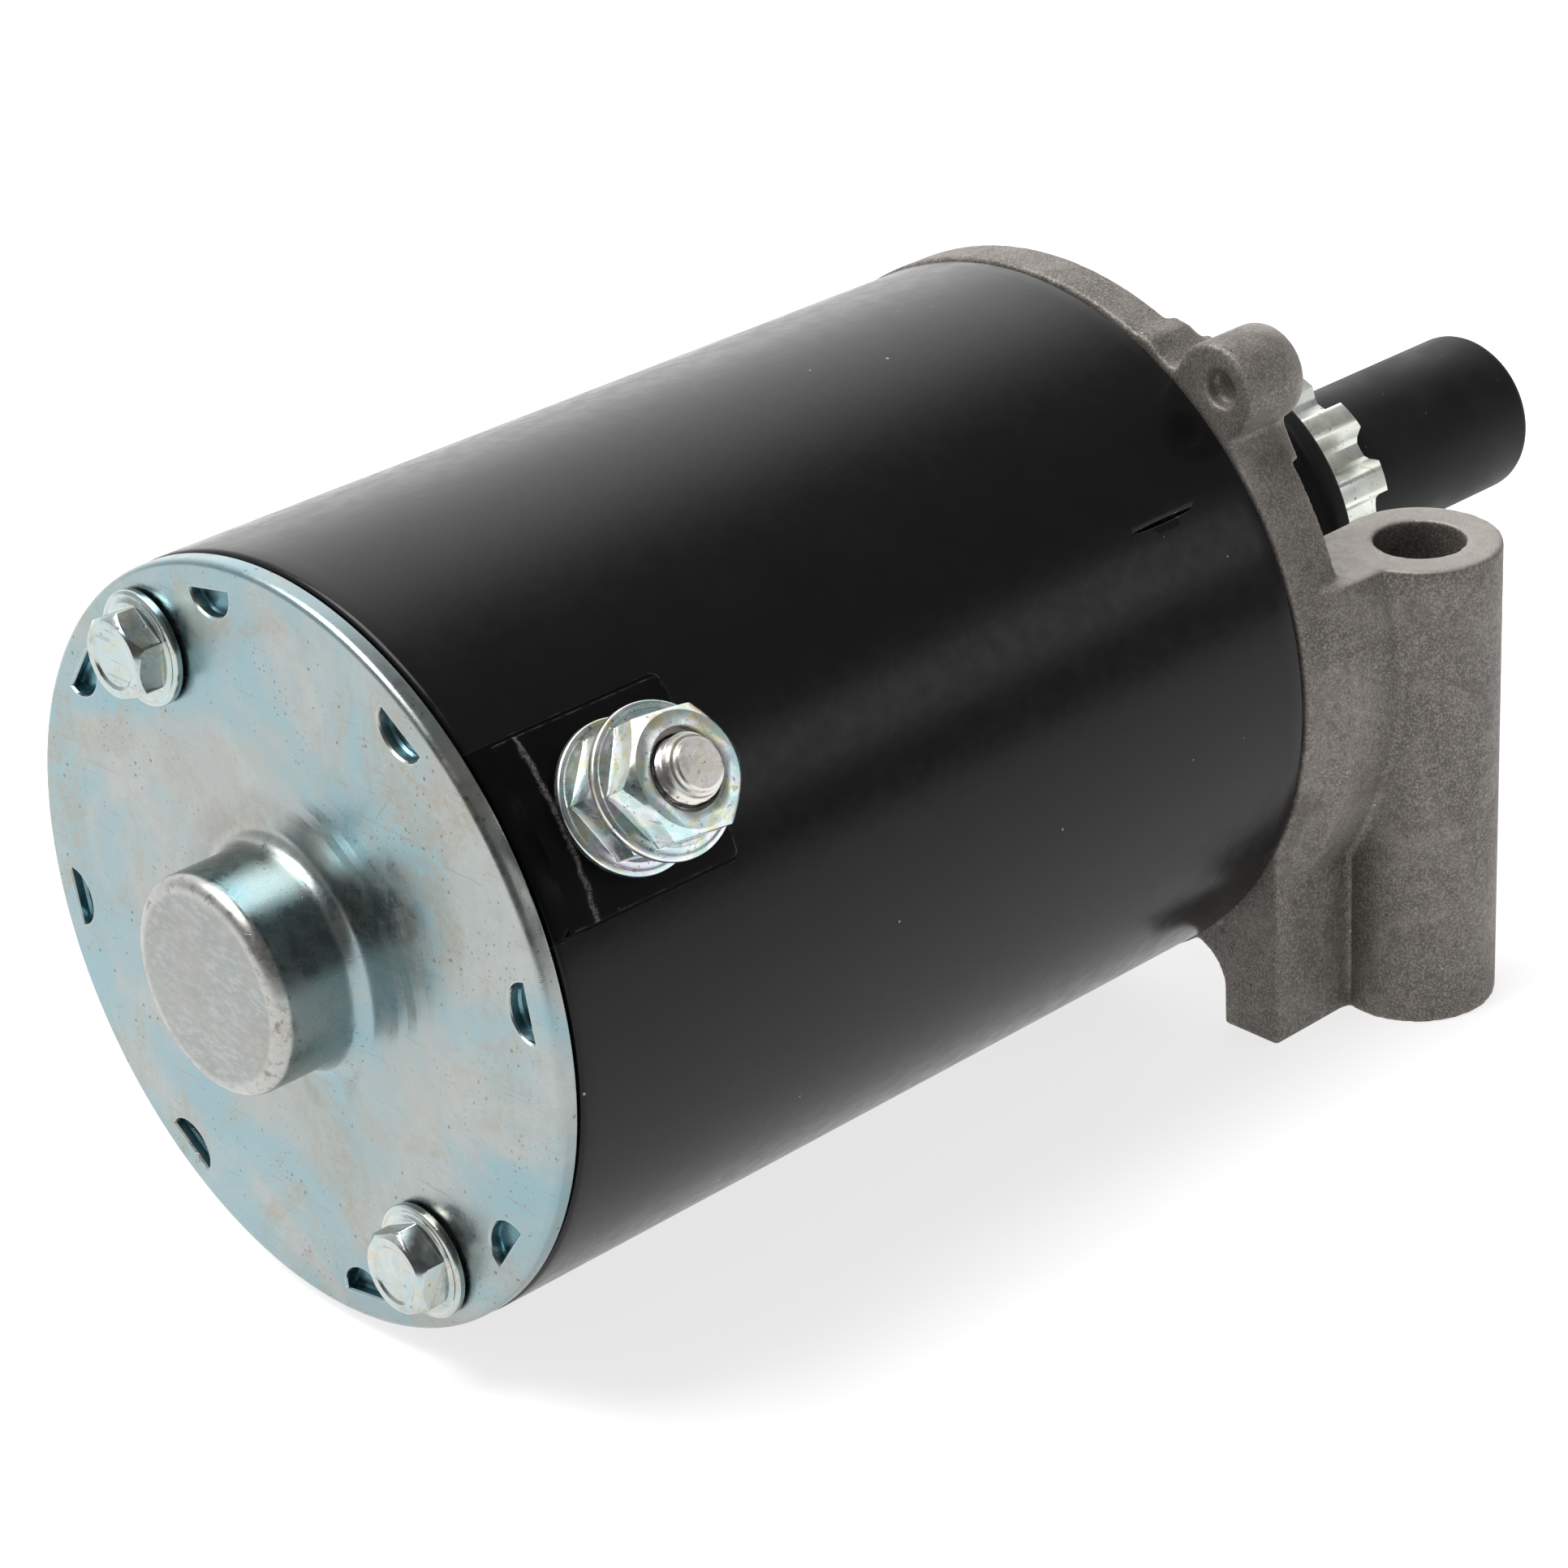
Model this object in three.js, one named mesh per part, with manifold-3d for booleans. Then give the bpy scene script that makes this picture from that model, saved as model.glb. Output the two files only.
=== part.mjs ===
// Starter motor for a small engine: permanent magnet motor, die-cast drive end and
// an inertia drive whose pinion advances along a helix when the shaft spins up.
//
// Millimetres, +Z up. X is the shaft axis: the commutator end plate's outer face is at
// x = 0 and the drive end is at +X. The whole group is moved at the end so that its
// origin is the centre of the bounding box's base.
//
// Angles around the shaft are in degrees from -Y towards +Z.

import * as THREE from 'three';
import { mergeVertices } from 'three/addons/utils/BufferGeometryUtils.js';
import Module from 'manifold-3d';

const wasm = await Module();
wasm.setup();

// ---------------------------------------------------------------- driving dimensions

const GAP = 0.3;

const PLATE_R = 38.0;
const PLATE_T = 2.1;
const CUP_R = 10.9;
const CUP_DEPTH = 9.5;
const CUP_WALL = 1.9;
const NOTCH_COUNT = 8;
const NOTCH_FIRST_ANGLE = 10.25;
const NOTCH_R = 35.2;
const NOTCH_DEPTH = 1.3;
const NOTCH_WIDTH = 5.8;
const NOTCH_HEIGHT = 2.6;

const TUBE_R = 38.1;
const TUBE_INNER_R = 35.6;
const TUBE_START = PLATE_T + GAP;
const TUBE_END = 98.2;

const BOLT_ANGLES = [122.7, -57.3];
const BOLT_CIRCLE_R = 31.0;
const BOLT_R = 2.4;
const BOLT_FLANGE_R = 5.7;
const BOLT_HEX_AF = 7.9;
const BOLT_HEX_TURN = 35;
const BOLT_HEAD_H = 3.9;
const BOLT_RECESS_R = 2.9;
const BOLT_TIP = 101.5;
const BOLT_BOSS_START = 92.0;
const BOLT_BOSS_R = 5.2;

const TERMINAL_ANGLE = 33.0;
const TERMINAL_X = 14.0;
const STUD_R = 3.15;
const STUD_TIP_R = 51.7;
const STUD_HEAD_BASE_R = 27.4;
const STUD_HEAD_H = 3.0;
const NUT_FLANGE_R = 7.2;
const NUT_HEX_AF = 11.1;
const NUT_H = 4.7;
const INNER_NUT_BASE_R = 39.3;
const INNER_NUT_TURN = 41;
const OUTER_NUT_BASE_R = 45.0;
const OUTER_NUT_TURN = 36;
const HEX_FLANGE_RIM = 0.8;
const HEX_FLANGE_TOP = 1.2;
const INSULATOR_END = 24.0;
const INSULATOR_HALF_WIDTH = 8.8;
const INSULATOR_INNER_R = 31.0;
const INSULATOR_OUTER_R = 38.4;
const INSULATOR_COLLAR_R = 5.2;

const SHAFT_R = 5.0;
const JOURNAL_R = 5.7;
const DRIVE_SHAFT_R = 4.3;
const SHAFT_START = -6.8;
const COMMUTATOR_R = 15.5;
const COMMUTATOR_BARS = 16;
const COMMUTATOR_START = 5.4;
const RISER_START = 18.2;
const RISER_R = 17.4;
const COMMUTATOR_END = 21.8;
const WINDING_START = 22.6;
const WINDING_INNER_R = 9.0;
const WINDING_OUTER_R = 25.4;
const CORE_R = 27.5;
const CORE_START = 32.3;
const CORE_LENGTH = 48.0;
const SLOT_COUNT = 16;
const SLOT_INNER_R = 17.5;
const SLOT_OUTER_R = 25.6;
const MAGNET_COUNT = 4;
const MAGNET_R = TUBE_INNER_R - GAP;
const MAGNET_INNER_R = 28.1;
const MAGNET_HALF_ARC = 37;
const MAGNET_START = 29.0;
const MAGNET_LENGTH = 54.0;
const BRUSH_COUNT = 4;

const RING_START = TUBE_END + GAP;
const RING_END = 103.8;
const RING_R = 38.4;
const PILOT_START = 94.5;
const PILOT_INNER_R = 31.6;
const HUB_R = 13.0;
const HUB_END = 122.0;
const HUB_BORE_R = 8.3;
const BOSS_X = 118.0;
const BOSS_Y = 36.4;
const BOSS_R = 8.4;
const BOSS_BORE_R = 4.7;
const BOSS_TOP = 12.0;
const BOSS_BOTTOM = -39.6;
const LEG_OUTER_Y = 34.2;
const LEG_INNER_Y = 26.9;
const LEG_FILLET_R = 5.0;
const LEG_FILLET_Z = -35.6;
const SHOULDER_R = 40.3;
const SHOULDER_START = 101.2;
const EAR_Y = -26.1;
const EAR_Z = 31.3;
const EAR_R = 5.0;
const EAR_END = 107.1;
const THICK_RING_END = 105.2;
const THICK_RING_CENTRE = 36;
const THICK_RING_HALF_ARC = 26;

const SLEEVE_START = 123.6;
const SLEEVE_END = 149.0;
const SLEEVE_R = 6.2;
const HELIX_LEAD = 19.0;
const HELIX_STARTS = 6;
const PINION_START = 130.0;
const PINION_END = 142.5;
const PINION_TEETH = 10;
const PINION_TIP_R = 13.4;
const PINION_ROOT_R = 10.3;
const PINION_BORE_R = 6.5;
const PINION_HUB_R = 8.4;
const PINION_HUB_START = 126.7;
const DISC_R = 18.6;
const DISC_START = 126.8;
const DISC_END = 129.4;
const CAP_R = 9.1;
const CAP_WALL = 1.1;
const CAP_START = PINION_END + GAP;
const CAP_END = 170.9;
const SHAFT_TIP = 168.3;

// ---------------------------------------------------------------- materials

const material = (color, roughness, metalness) =>
  new THREE.MeshStandardMaterial({ color, roughness, metalness });

const zincPlate = material(0xb9c2c4, 0.35, 0.9);
const blackEnamel = material(0x141416, 0.35, 0.1);
const blackPlastic = material(0x1b1b1d, 0.55, 0.0);
const castAluminium = material(0x8d867f, 0.6, 0.8);
const brightSteel = material(0xc4c6c5, 0.35, 0.95);
const springSteel = material(0x8f9398, 0.35, 0.95);
const laminatedIron = material(0x6d6f72, 0.5, 0.85);
const ferrite = material(0x2c2c2f, 0.7, 0.1);
const copper = material(0xb4693c, 0.35, 0.9);
const carbon = material(0x3a302b, 0.7, 0.2);
const bronze = material(0xa98149, 0.45, 0.85);
const brass = material(0xc2a256, 0.35, 0.9);
const phenolic = material(0x5a3a26, 0.6, 0.0);

// ---------------------------------------------------------------- geometry helpers

function signedVolume(geometry) {
  const p = geometry.attributes.position;
  const [a, b, c] = [new THREE.Vector3(), new THREE.Vector3(), new THREE.Vector3()];
  let volume = 0;
  for (let i = 0; i < geometry.index.count; i += 3) {
    a.fromBufferAttribute(p, geometry.index.getX(i));
    b.fromBufferAttribute(p, geometry.index.getX(i + 1));
    c.fromBufferAttribute(p, geometry.index.getX(i + 2));
    volume += a.dot(b.cross(c)) / 6;
  }
  return volume;
}

// Shared vertices, no empty triangles, faces out.
function weld(source) {
  const stripped = source.clone();
  stripped.deleteAttribute('normal');
  stripped.deleteAttribute('uv');
  const welded = mergeVertices(stripped, 1e-4);
  const kept = [];
  for (let i = 0; i < welded.index.count; i += 3) {
    const [a, b, c] = [0, 1, 2].map((k) => welded.index.getX(i + k));
    if (a !== b && b !== c && c !== a) kept.push(a, b, c);
  }
  welded.setIndex(kept);
  if (signedVolume(welded) < 0) {
    for (let i = 0; i < kept.length; i += 3) {
      [kept[i + 1], kept[i + 2]] = [kept[i + 2], kept[i + 1]];
    }
    welded.setIndex(kept);
  }
  return welded;
}

function toManifold(geometry) {
  const welded = weld(geometry);
  return new wasm.Manifold(new wasm.Mesh({
    numProp: 3,
    vertProperties: new Float32Array(welded.attributes.position.array),
    triVerts: new Uint32Array(welded.index.array),
  }));
}

function fromManifold(manifold) {
  const mesh = manifold.getMesh();
  const geometry = new THREE.BufferGeometry();
  geometry.setAttribute('position', new THREE.BufferAttribute(mesh.vertProperties, 3));
  geometry.setIndex(new THREE.BufferAttribute(mesh.triVerts, 1));
  return geometry;
}

function union(geometries) {
  return fromManifold(geometries.map(toManifold).reduce((a, b) => a.add(b)));
}

function cut(geometry, tools) {
  return fromManifold(tools.map(toManifold).reduce((a, b) => a.subtract(b), toManifold(geometry)));
}

function common(geometry, other) {
  return fromManifold(toManifold(geometry).intersect(toManifold(other)));
}

// A body of revolution about the X axis from [x, r] points.
function turned(points, segments = 40) {
  const profile = points.map(([x, r]) => new THREE.Vector2(r, x));
  return weld(new THREE.LatheGeometry(profile, segments).rotateZ(-Math.PI / 2));
}

// A ring or bush about the X axis.
function sleeve(x0, x1, inner, outer, segments = 24) {
  return turned([[x0, inner], [x0, outer], [x1, outer], [x1, inner], [x0, inner]], segments);
}

// A solid rod along X at (y, z).
function rodX(x0, x1, r, y = 0, z = 0, segments = 32) {
  const rod = new THREE.CylinderGeometry(r, r, x1 - x0, segments).rotateZ(-Math.PI / 2);
  return rod.translate((x0 + x1) / 2, y, z);
}

function rodZ(z0, z1, r, x, y, segments = 40) {
  const rod = new THREE.CylinderGeometry(r, r, z1 - z0, segments).rotateX(Math.PI / 2);
  return rod.translate(x, y, (z0 + z1) / 2);
}

function block(x0, x1, y0, y1, z0, z1) {
  const box = new THREE.BoxGeometry(x1 - x0, y1 - y0, z1 - z0);
  return box.translate((x0 + x1) / 2, (y0 + y1) / 2, (z0 + z1) / 2);
}

// [y, z] at radius r and an angle around the shaft.
function polar(r, angle) {
  const a = THREE.MathUtils.degToRad(angle);
  return [-r * Math.cos(a), r * Math.sin(a)];
}

// Turns something modelled on +Z (at the angle 90) to another angle around the shaft.
function aroundShaft(geometry, angle) {
  return geometry.rotateX(THREE.MathUtils.degToRad(90 - angle));
}

// Extrudes [y, z] outline points along X.
function prismX(outline, x0, x1) {
  const shape = new THREE.Shape(outline.map(([y, z]) => new THREE.Vector2(y, z)));
  const prism = new THREE.ExtrudeGeometry(shape, { depth: x1 - x0, bevelEnabled: false });
  return prism.rotateY(Math.PI / 2).rotateX(Math.PI / 2).translate(x0, 0, 0);
}

// An annular sector about X, centred on the given angle.
function arcX(x0, x1, inner, outer, centre, halfArc, steps = 10) {
  const outline = [];
  for (let i = 0; i <= steps; i++) outline.push(polar(outer, centre - halfArc + (2 * halfArc * i) / steps));
  for (let i = steps; i >= 0; i--) outline.push(polar(inner, centre - halfArc + (2 * halfArc * i) / steps));
  return prismX(outline, x0, x1);
}

function hexagon(acrossFlats, turn = 0) {
  const points = [];
  for (let i = 0; i < 6; i++) {
    const a = THREE.MathUtils.degToRad(60 * i + turn);
    points.push([(acrossFlats / Math.sqrt(3)) * Math.cos(a), (acrossFlats / Math.sqrt(3)) * Math.sin(a)]);
  }
  return points;
}

// Hexagon prism on X with its outer end's corners turned down, flange at x = 0 and
// the outer end at x = -height.
function hexHead(acrossFlats, turn, flangeR, height, recessR) {
  const corner = acrossFlats / Math.sqrt(3);
  const foot = -HEX_FLANGE_RIM;
  const envelope = turned([
    [-height, 0], [-height, corner * 0.86], [-height + 0.9, corner * 1.02],
    [foot, corner * 1.02], [foot, 0],
  ], 24);
  const hex = common(prismX(hexagon(acrossFlats, turn), -height, foot), envelope);
  const flange = turned([
    [0.0, 0], [0.0, flangeR - 0.2], [-0.3, flangeR], [-HEX_FLANGE_RIM + 0.2, flangeR],
    [-HEX_FLANGE_RIM, flangeR - 0.2], [-HEX_FLANGE_TOP, corner * 0.9], [-HEX_FLANGE_TOP, 0],
  ], 28);
  const head = union([flange, hex]);
  return recessR ? cut(head, [rodX(-height - 1, -height + 0.5, recessR, 0, 0, 16)]) : head;
}

// A round wire swept along a helix about X.
function coil(x0, x1, meanR, wireR, turns, stepsPerTurn, sides) {
  class Helix extends THREE.Curve {
    getPoint(t, target = new THREE.Vector3()) {
      const a = 2 * Math.PI * turns * t;
      return target.set(x0 + (x1 - x0) * t, meanR * Math.cos(a), meanR * Math.sin(a));
    }
  }
  const section = new THREE.Shape();
  for (let i = 0; i < sides; i++) {
    const a = (2 * Math.PI * i) / sides;
    section[i ? 'lineTo' : 'moveTo'](wireR * Math.cos(a), wireR * Math.sin(a));
  }
  section.closePath();
  const steps = Math.round(turns * stepsPerTurn);
  return weld(new THREE.ExtrudeGeometry(section, { steps, extrudePath: new Helix(), bevelEnabled: false }));
}

const starter = new THREE.Group();

function add(name, geometry, look) {
  const mesh = new THREE.Mesh(weld(geometry), look);
  mesh.name = name;
  starter.add(mesh);
  return mesh;
}

// ---------------------------------------------------------------- commutator end

// One half-sheared locating tab: a pocket in the outer face and a stub inside.
function notchOutline(angle, clearance) {
  const halfWidth = NOTCH_WIDTH / 2 - clearance;
  const flat = NOTCH_R - clearance;
  const outline = [];
  for (let i = 0; i <= 6; i++) {
    const a = Math.PI * (i / 6);
    outline.push([halfWidth * Math.cos(a), flat - NOTCH_HEIGHT * Math.sin(a)]);
  }
  const turn = THREE.MathUtils.degToRad(90 - angle);
  return outline.map(([s, r]) => [
    s * Math.cos(turn) - r * Math.sin(turn),
    s * Math.sin(turn) + r * Math.cos(turn),
  ]);
}

function endPlate() {
  const cupInnerR = CUP_R - CUP_WALL;
  const plate = turned([
    [-CUP_DEPTH, 0], [-CUP_DEPTH, CUP_R - 1.4], [-CUP_DEPTH + 0.45, CUP_R - 0.4],
    [-CUP_DEPTH + 1.4, CUP_R], [-1.9, CUP_R], [-0.6, CUP_R + 0.6], [0, CUP_R + 1.9],
    [0, PLATE_R - 0.7], [0.7, PLATE_R], [PLATE_T - 0.3, PLATE_R], [PLATE_T, PLATE_R - 0.3],
    [PLATE_T, cupInnerR + 1.0], [PLATE_T - 1.0, cupInnerR],
    [-CUP_DEPTH + CUP_WALL, cupInnerR], [-CUP_DEPTH + CUP_WALL, 0],
  ], 48);
  const angles = Array.from({ length: NOTCH_COUNT }, (_, k) => NOTCH_FIRST_ANGLE + 45 * k);
  const stubs = angles.map((a) => prismX(notchOutline(a, 0.35), PLATE_T - 0.4, PLATE_T + NOTCH_DEPTH));
  const pockets = angles.map((a) => prismX(notchOutline(a, 0), -1, NOTCH_DEPTH));
  const holes = BOLT_ANGLES.map((a) => rodX(-1, PLATE_T + 1, BOLT_R + GAP, ...polar(BOLT_CIRCLE_R, a), 24));
  return cut(union([plate, ...stubs]), [...pockets, ...holes]);
}

function thruBolt(angle) {
  const head = hexHead(BOLT_HEX_AF, BOLT_HEX_TURN, BOLT_FLANGE_R, BOLT_HEAD_H, BOLT_RECESS_R);
  head.translate(-GAP, 0, 0);
  const shank = turned([
    [-1.2, 0], [-1.2, BOLT_R], [BOLT_TIP - 0.8, BOLT_R], [BOLT_TIP, BOLT_R - 0.8], [BOLT_TIP, 0],
  ], 24);
  const [y, z] = polar(BOLT_CIRCLE_R, angle);
  return union([head, shank]).translate(0, y, z);
}

function frameTube() {
  const tube = turned([
    [TUBE_START, TUBE_INNER_R], [TUBE_START, TUBE_R - 0.6], [TUBE_START + 0.6, TUBE_R],
    [TUBE_END, TUBE_R], [TUBE_END, TUBE_INNER_R], [TUBE_START, TUBE_INNER_R],
  ], 56);
  const half = INSULATOR_HALF_WIDTH + GAP;
  const slot = block(TUBE_START - 1, INSULATOR_END + GAP, -half, half, 20, TUBE_R + 5);
  return cut(tube, [aroundShaft(slot, TERMINAL_ANGLE)]);
}

// Insulating block in the frame's slot, curved to the frame outside, with its outer
// edge by the end plate bevelled down and a collar that carries the inner nut.
function terminalInsulator() {
  const half = INSULATOR_HALF_WIDTH;
  const body = block(TUBE_START + 0.4, INSULATOR_END, -half, half, INSULATOR_INNER_R, TUBE_R + 5);
  const skin = turned([
    [TUBE_START, 0], [TUBE_START, INSULATOR_OUTER_R - 1.6], [TUBE_START + 5.2, INSULATOR_OUTER_R],
    [INSULATOR_END + 1, INSULATOR_OUTER_R], [INSULATOR_END + 1, 0],
  ], 80);
  const collar = rodZ(INSULATOR_INNER_R + 1, INNER_NUT_BASE_R - GAP, INSULATOR_COLLAR_R, TERMINAL_X, 0, 32);
  const hole = rodZ(20, 50, STUD_R + GAP, TERMINAL_X, 0, 24);
  return aroundShaft(cut(union([common(body, skin), collar]), [hole]), TERMINAL_ANGLE);
}

// The stud and its nuts are modelled along +Z, at the angle 90, then turned.
function terminalStud() {
  const shank = turned([
    [-0.5, 0], [-0.5, STUD_R], [STUD_TIP_R - STUD_HEAD_BASE_R - STUD_HEAD_H - 0.9, STUD_R],
    [STUD_TIP_R - STUD_HEAD_BASE_R - STUD_HEAD_H, STUD_R - 0.9],
    [STUD_TIP_R - STUD_HEAD_BASE_R - STUD_HEAD_H, 0],
  ], 32).rotateY(-Math.PI / 2);
  const head = new THREE.CylinderGeometry(5, 5, STUD_HEAD_H, 6).rotateX(Math.PI / 2);
  head.translate(0, 0, -STUD_HEAD_H / 2);
  const stud = union([head, shank]);
  stud.translate(TERMINAL_X, 0, STUD_HEAD_BASE_R + STUD_HEAD_H);
  return aroundShaft(stud, TERMINAL_ANGLE);
}

function flangeNut(baseR, turn) {
  const nut = hexHead(NUT_HEX_AF, turn, NUT_FLANGE_R, NUT_H, 0);
  const bored = cut(nut, [rodX(-NUT_H - 1, 1, STUD_R + GAP, 0, 0, 32)]);
  bored.rotateY(Math.PI / 2).translate(TERMINAL_X, 0, baseR);
  return aroundShaft(bored, TERMINAL_ANGLE);
}

add('end_plate', endPlate(), zincPlate);
add('rear_bush', sleeve(-7.0, 1.6, SHAFT_R + GAP, CUP_R - CUP_WALL - GAP), bronze);
BOLT_ANGLES.forEach((angle, i) => add(`thru_bolt_${i + 1}`, thruBolt(angle), zincPlate));
add('frame_tube', frameTube(), blackEnamel);
add('terminal_insulator', terminalInsulator(), blackPlastic);
add('terminal_stud', terminalStud(), brightSteel);
add('terminal_nut_inner', flangeNut(INNER_NUT_BASE_R, INNER_NUT_TURN), zincPlate);
add('terminal_nut_outer', flangeNut(OUTER_NUT_BASE_R, OUTER_NUT_TURN), zincPlate);

// ---------------------------------------------------------------- brush gear

const BOARD_START = PLATE_T + GAP;
const BOARD_END = BOARD_START + 1.8;
const BRUSH_START = BOARD_END + 1.2;
const BRUSH_LENGTH_X = 10.0;
const BRUSH_HALF_WIDTH = 3.0;
const BRUSH_INNER_R = COMMUTATOR_R + GAP;
const BRUSH_OUTER_R = 23.0;
const HOLDER_WALL = 0.9;
const HOLDER_INNER_R = 18.5;
const HOLDER_OUTER_R = 29.6;

function brushBoard() {
  const board = sleeve(BOARD_START, BOARD_END, 17.0, INSULATOR_INNER_R - GAP, 36);
  return cut(board, BOLT_ANGLES.map((a) => rodX(0, 10, BOLT_R + 1.2, ...polar(BOLT_CIRCLE_R + 1, a), 16)));
}

// Sheet brass box around the brush: open at the commutator, closed behind the spring.
function brushHolder(angle) {
  const w = BRUSH_HALF_WIDTH + GAP;
  const x0 = BRUSH_START - GAP;
  const x1 = BRUSH_START + BRUSH_LENGTH_X + GAP;
  const box = block(
    x0 - HOLDER_WALL + 0.3, x1 + HOLDER_WALL, -w - HOLDER_WALL, w + HOLDER_WALL,
    HOLDER_INNER_R, HOLDER_OUTER_R,
  );
  const inside = block(x0, x1, -w, w, HOLDER_INNER_R - 5, HOLDER_OUTER_R - HOLDER_WALL);
  return aroundShaft(cut(box, [inside]), angle);
}

function brush(angle) {
  const body = block(
    BRUSH_START, BRUSH_START + BRUSH_LENGTH_X, -BRUSH_HALF_WIDTH, BRUSH_HALF_WIDTH,
    BRUSH_INNER_R - 0.6, BRUSH_OUTER_R,
  );
  const seat = rodX(0, 30, BRUSH_INNER_R, 0, 0, 96);
  return aroundShaft(cut(body, [seat]), angle);
}

function brushSpring(angle) {
  const length = HOLDER_OUTER_R - HOLDER_WALL - GAP - BRUSH_OUTER_R - GAP - 1.0;
  const spring = coil(0, length, 2.1, 0.4, 3, 8, 4).rotateY(-Math.PI / 2);
  spring.translate(BRUSH_START + BRUSH_LENGTH_X / 2, 0, BRUSH_OUTER_R + GAP + 0.5);
  return aroundShaft(spring, angle);
}

add('brush_board', brushBoard(), phenolic);
for (let k = 0; k < BRUSH_COUNT; k++) {
  const angle = (360 / BRUSH_COUNT) * k;
  add(`brush_holder_${k + 1}`, brushHolder(angle), brass);
  add(`brush_${k + 1}`, brush(angle), carbon);
  add(`brush_spring_${k + 1}`, brushSpring(angle), springSteel);
}

// ---------------------------------------------------------------- field and armature

for (let k = 0; k < MAGNET_COUNT; k++) {
  const centre = TERMINAL_ANGLE + 45 + (360 / MAGNET_COUNT) * k;
  add(
    `magnet_${k + 1}`,
    arcX(MAGNET_START, MAGNET_START + MAGNET_LENGTH, MAGNET_INNER_R, MAGNET_R, centre, MAGNET_HALF_ARC, 12),
    ferrite,
  );
}

const CORE_END = CORE_START + CORE_LENGTH;
const CORE_SHAFT_R = 6.8;
const CORE_SHAFT_START = 3.4;
const CORE_SHAFT_END = 93.0;

function armatureShaft() {
  return turned([
    [SHAFT_START, 0], [SHAFT_START, SHAFT_R - 0.6], [SHAFT_START + 0.6, SHAFT_R],
    [CORE_SHAFT_START, SHAFT_R], [CORE_SHAFT_START, CORE_SHAFT_R],
    [CORE_SHAFT_END, CORE_SHAFT_R], [CORE_SHAFT_END, JOURNAL_R], [SLEEVE_START - 0.6, JOURNAL_R],
    [SLEEVE_START - 0.6, DRIVE_SHAFT_R], [SHAFT_TIP - 0.7, DRIVE_SHAFT_R],
    [SHAFT_TIP, DRIVE_SHAFT_R - 0.7], [SHAFT_TIP, 0],
  ], 24);
}

// Lamination stack with round-bottomed slots open at the rim.
function armatureCore() {
  const stack = sleeve(CORE_START, CORE_END, CORE_SHAFT_R + GAP, CORE_R, 32);
  const slots = [];
  for (let k = 0; k < SLOT_COUNT; k++) {
    const a = (360 / SLOT_COUNT) * k;
    slots.push(arcX(CORE_START - 1, CORE_END + 1, SLOT_INNER_R, SLOT_OUTER_R, a, 6.4, 2));
    slots.push(arcX(CORE_START - 1, CORE_END + 1, SLOT_OUTER_R - 0.6, CORE_R + 1, a, 2.6, 1));
  }
  return cut(stack, slots);
}

// End turns and the bars that join them through the slots.
function armatureWindings() {
  const rear = turned([
    [WINDING_START, WINDING_INNER_R], [WINDING_START, 19.0], [WINDING_START + 2.4, 24.0],
    [WINDING_START + 8.0, WINDING_OUTER_R], [CORE_START - GAP, WINDING_OUTER_R],
    [CORE_START - GAP, WINDING_INNER_R], [WINDING_START, WINDING_INNER_R],
  ], 24);
  const front = turned([
    [CORE_END + GAP, WINDING_INNER_R], [CORE_END + GAP, WINDING_OUTER_R],
    [CORE_END + 2.5, WINDING_OUTER_R], [CORE_END + 7.5, 23.0], [CORE_END + 9.4, 18.0],
    [CORE_END + 9.4, WINDING_INNER_R], [CORE_END + GAP, WINDING_INNER_R],
  ], 24);
  const bars = [];
  for (let k = 0; k < SLOT_COUNT; k++) {
    const angle = (360 / SLOT_COUNT) * k;
    bars.push(arcX(CORE_START - 1, CORE_END + 1, SLOT_INNER_R + 0.7, SLOT_OUTER_R - 0.6, angle, 5.2, 1));
  }
  return union([rear, front, ...bars]);
}

function commutator() {
  const body = turned([
    [COMMUTATOR_START, CORE_SHAFT_R + GAP], [COMMUTATOR_START, COMMUTATOR_R],
    [RISER_START, COMMUTATOR_R], [RISER_START, RISER_R], [COMMUTATOR_END, RISER_R],
    [COMMUTATOR_END, CORE_SHAFT_R + GAP], [COMMUTATOR_START, CORE_SHAFT_R + GAP],
  ], 32);
  const gaps = [];
  for (let k = 0; k < COMMUTATOR_BARS; k++) {
    const gap = block(COMMUTATOR_START - 1, COMMUTATOR_END + 1, -0.35, 0.35, COMMUTATOR_R - 0.9, 20);
    gaps.push(aroundShaft(gap, (360 / COMMUTATOR_BARS) * (k + 0.5)));
  }
  return cut(body, gaps);
}

add('armature_shaft', armatureShaft(), brightSteel);
add('rear_thrust_washer', sleeve(1.9, 3.1, SHAFT_R + GAP, 8.6), phenolic);
add('commutator', commutator(), copper);
add('armature_windings', armatureWindings(), copper);
add('armature_core', armatureCore(), laminatedIron);

// ---------------------------------------------------------------- drive end casting

// One side's boss, its leg and the wall that joins them to the ring. side is -1 or 1.
function bossSide(side) {
  const span = (a, b) => [Math.min(side * a, side * b), Math.max(side * a, side * b)];
  const boss = rodZ(BOSS_BOTTOM, BOSS_TOP, BOSS_R, BOSS_X, side * BOSS_Y, 36);
  const leg = block(RING_START, BOSS_X, ...span(LEG_INNER_Y, LEG_OUTER_Y), BOSS_BOTTOM, 0);
  const wallBox = block(SHOULDER_START, BOSS_X, ...span(LEG_INNER_Y + 1.3, SHOULDER_R + 1), -24, BOSS_TOP);
  const wall = common(wallBox, turned([
    [RING_START, 0], [RING_START, RING_R], [SHOULDER_START, RING_R], [SHOULDER_START + 2.2, SHOULDER_R],
    [BOSS_X, SHOULDER_R], [BOSS_X, 0],
  ], 48));
  const rib = block(RING_END - 1, BOSS_X - 4, ...span(HUB_R - 3, LEG_INNER_Y + 2), -3, 3);
  return union([boss, leg, wall, rib]);
}

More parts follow.
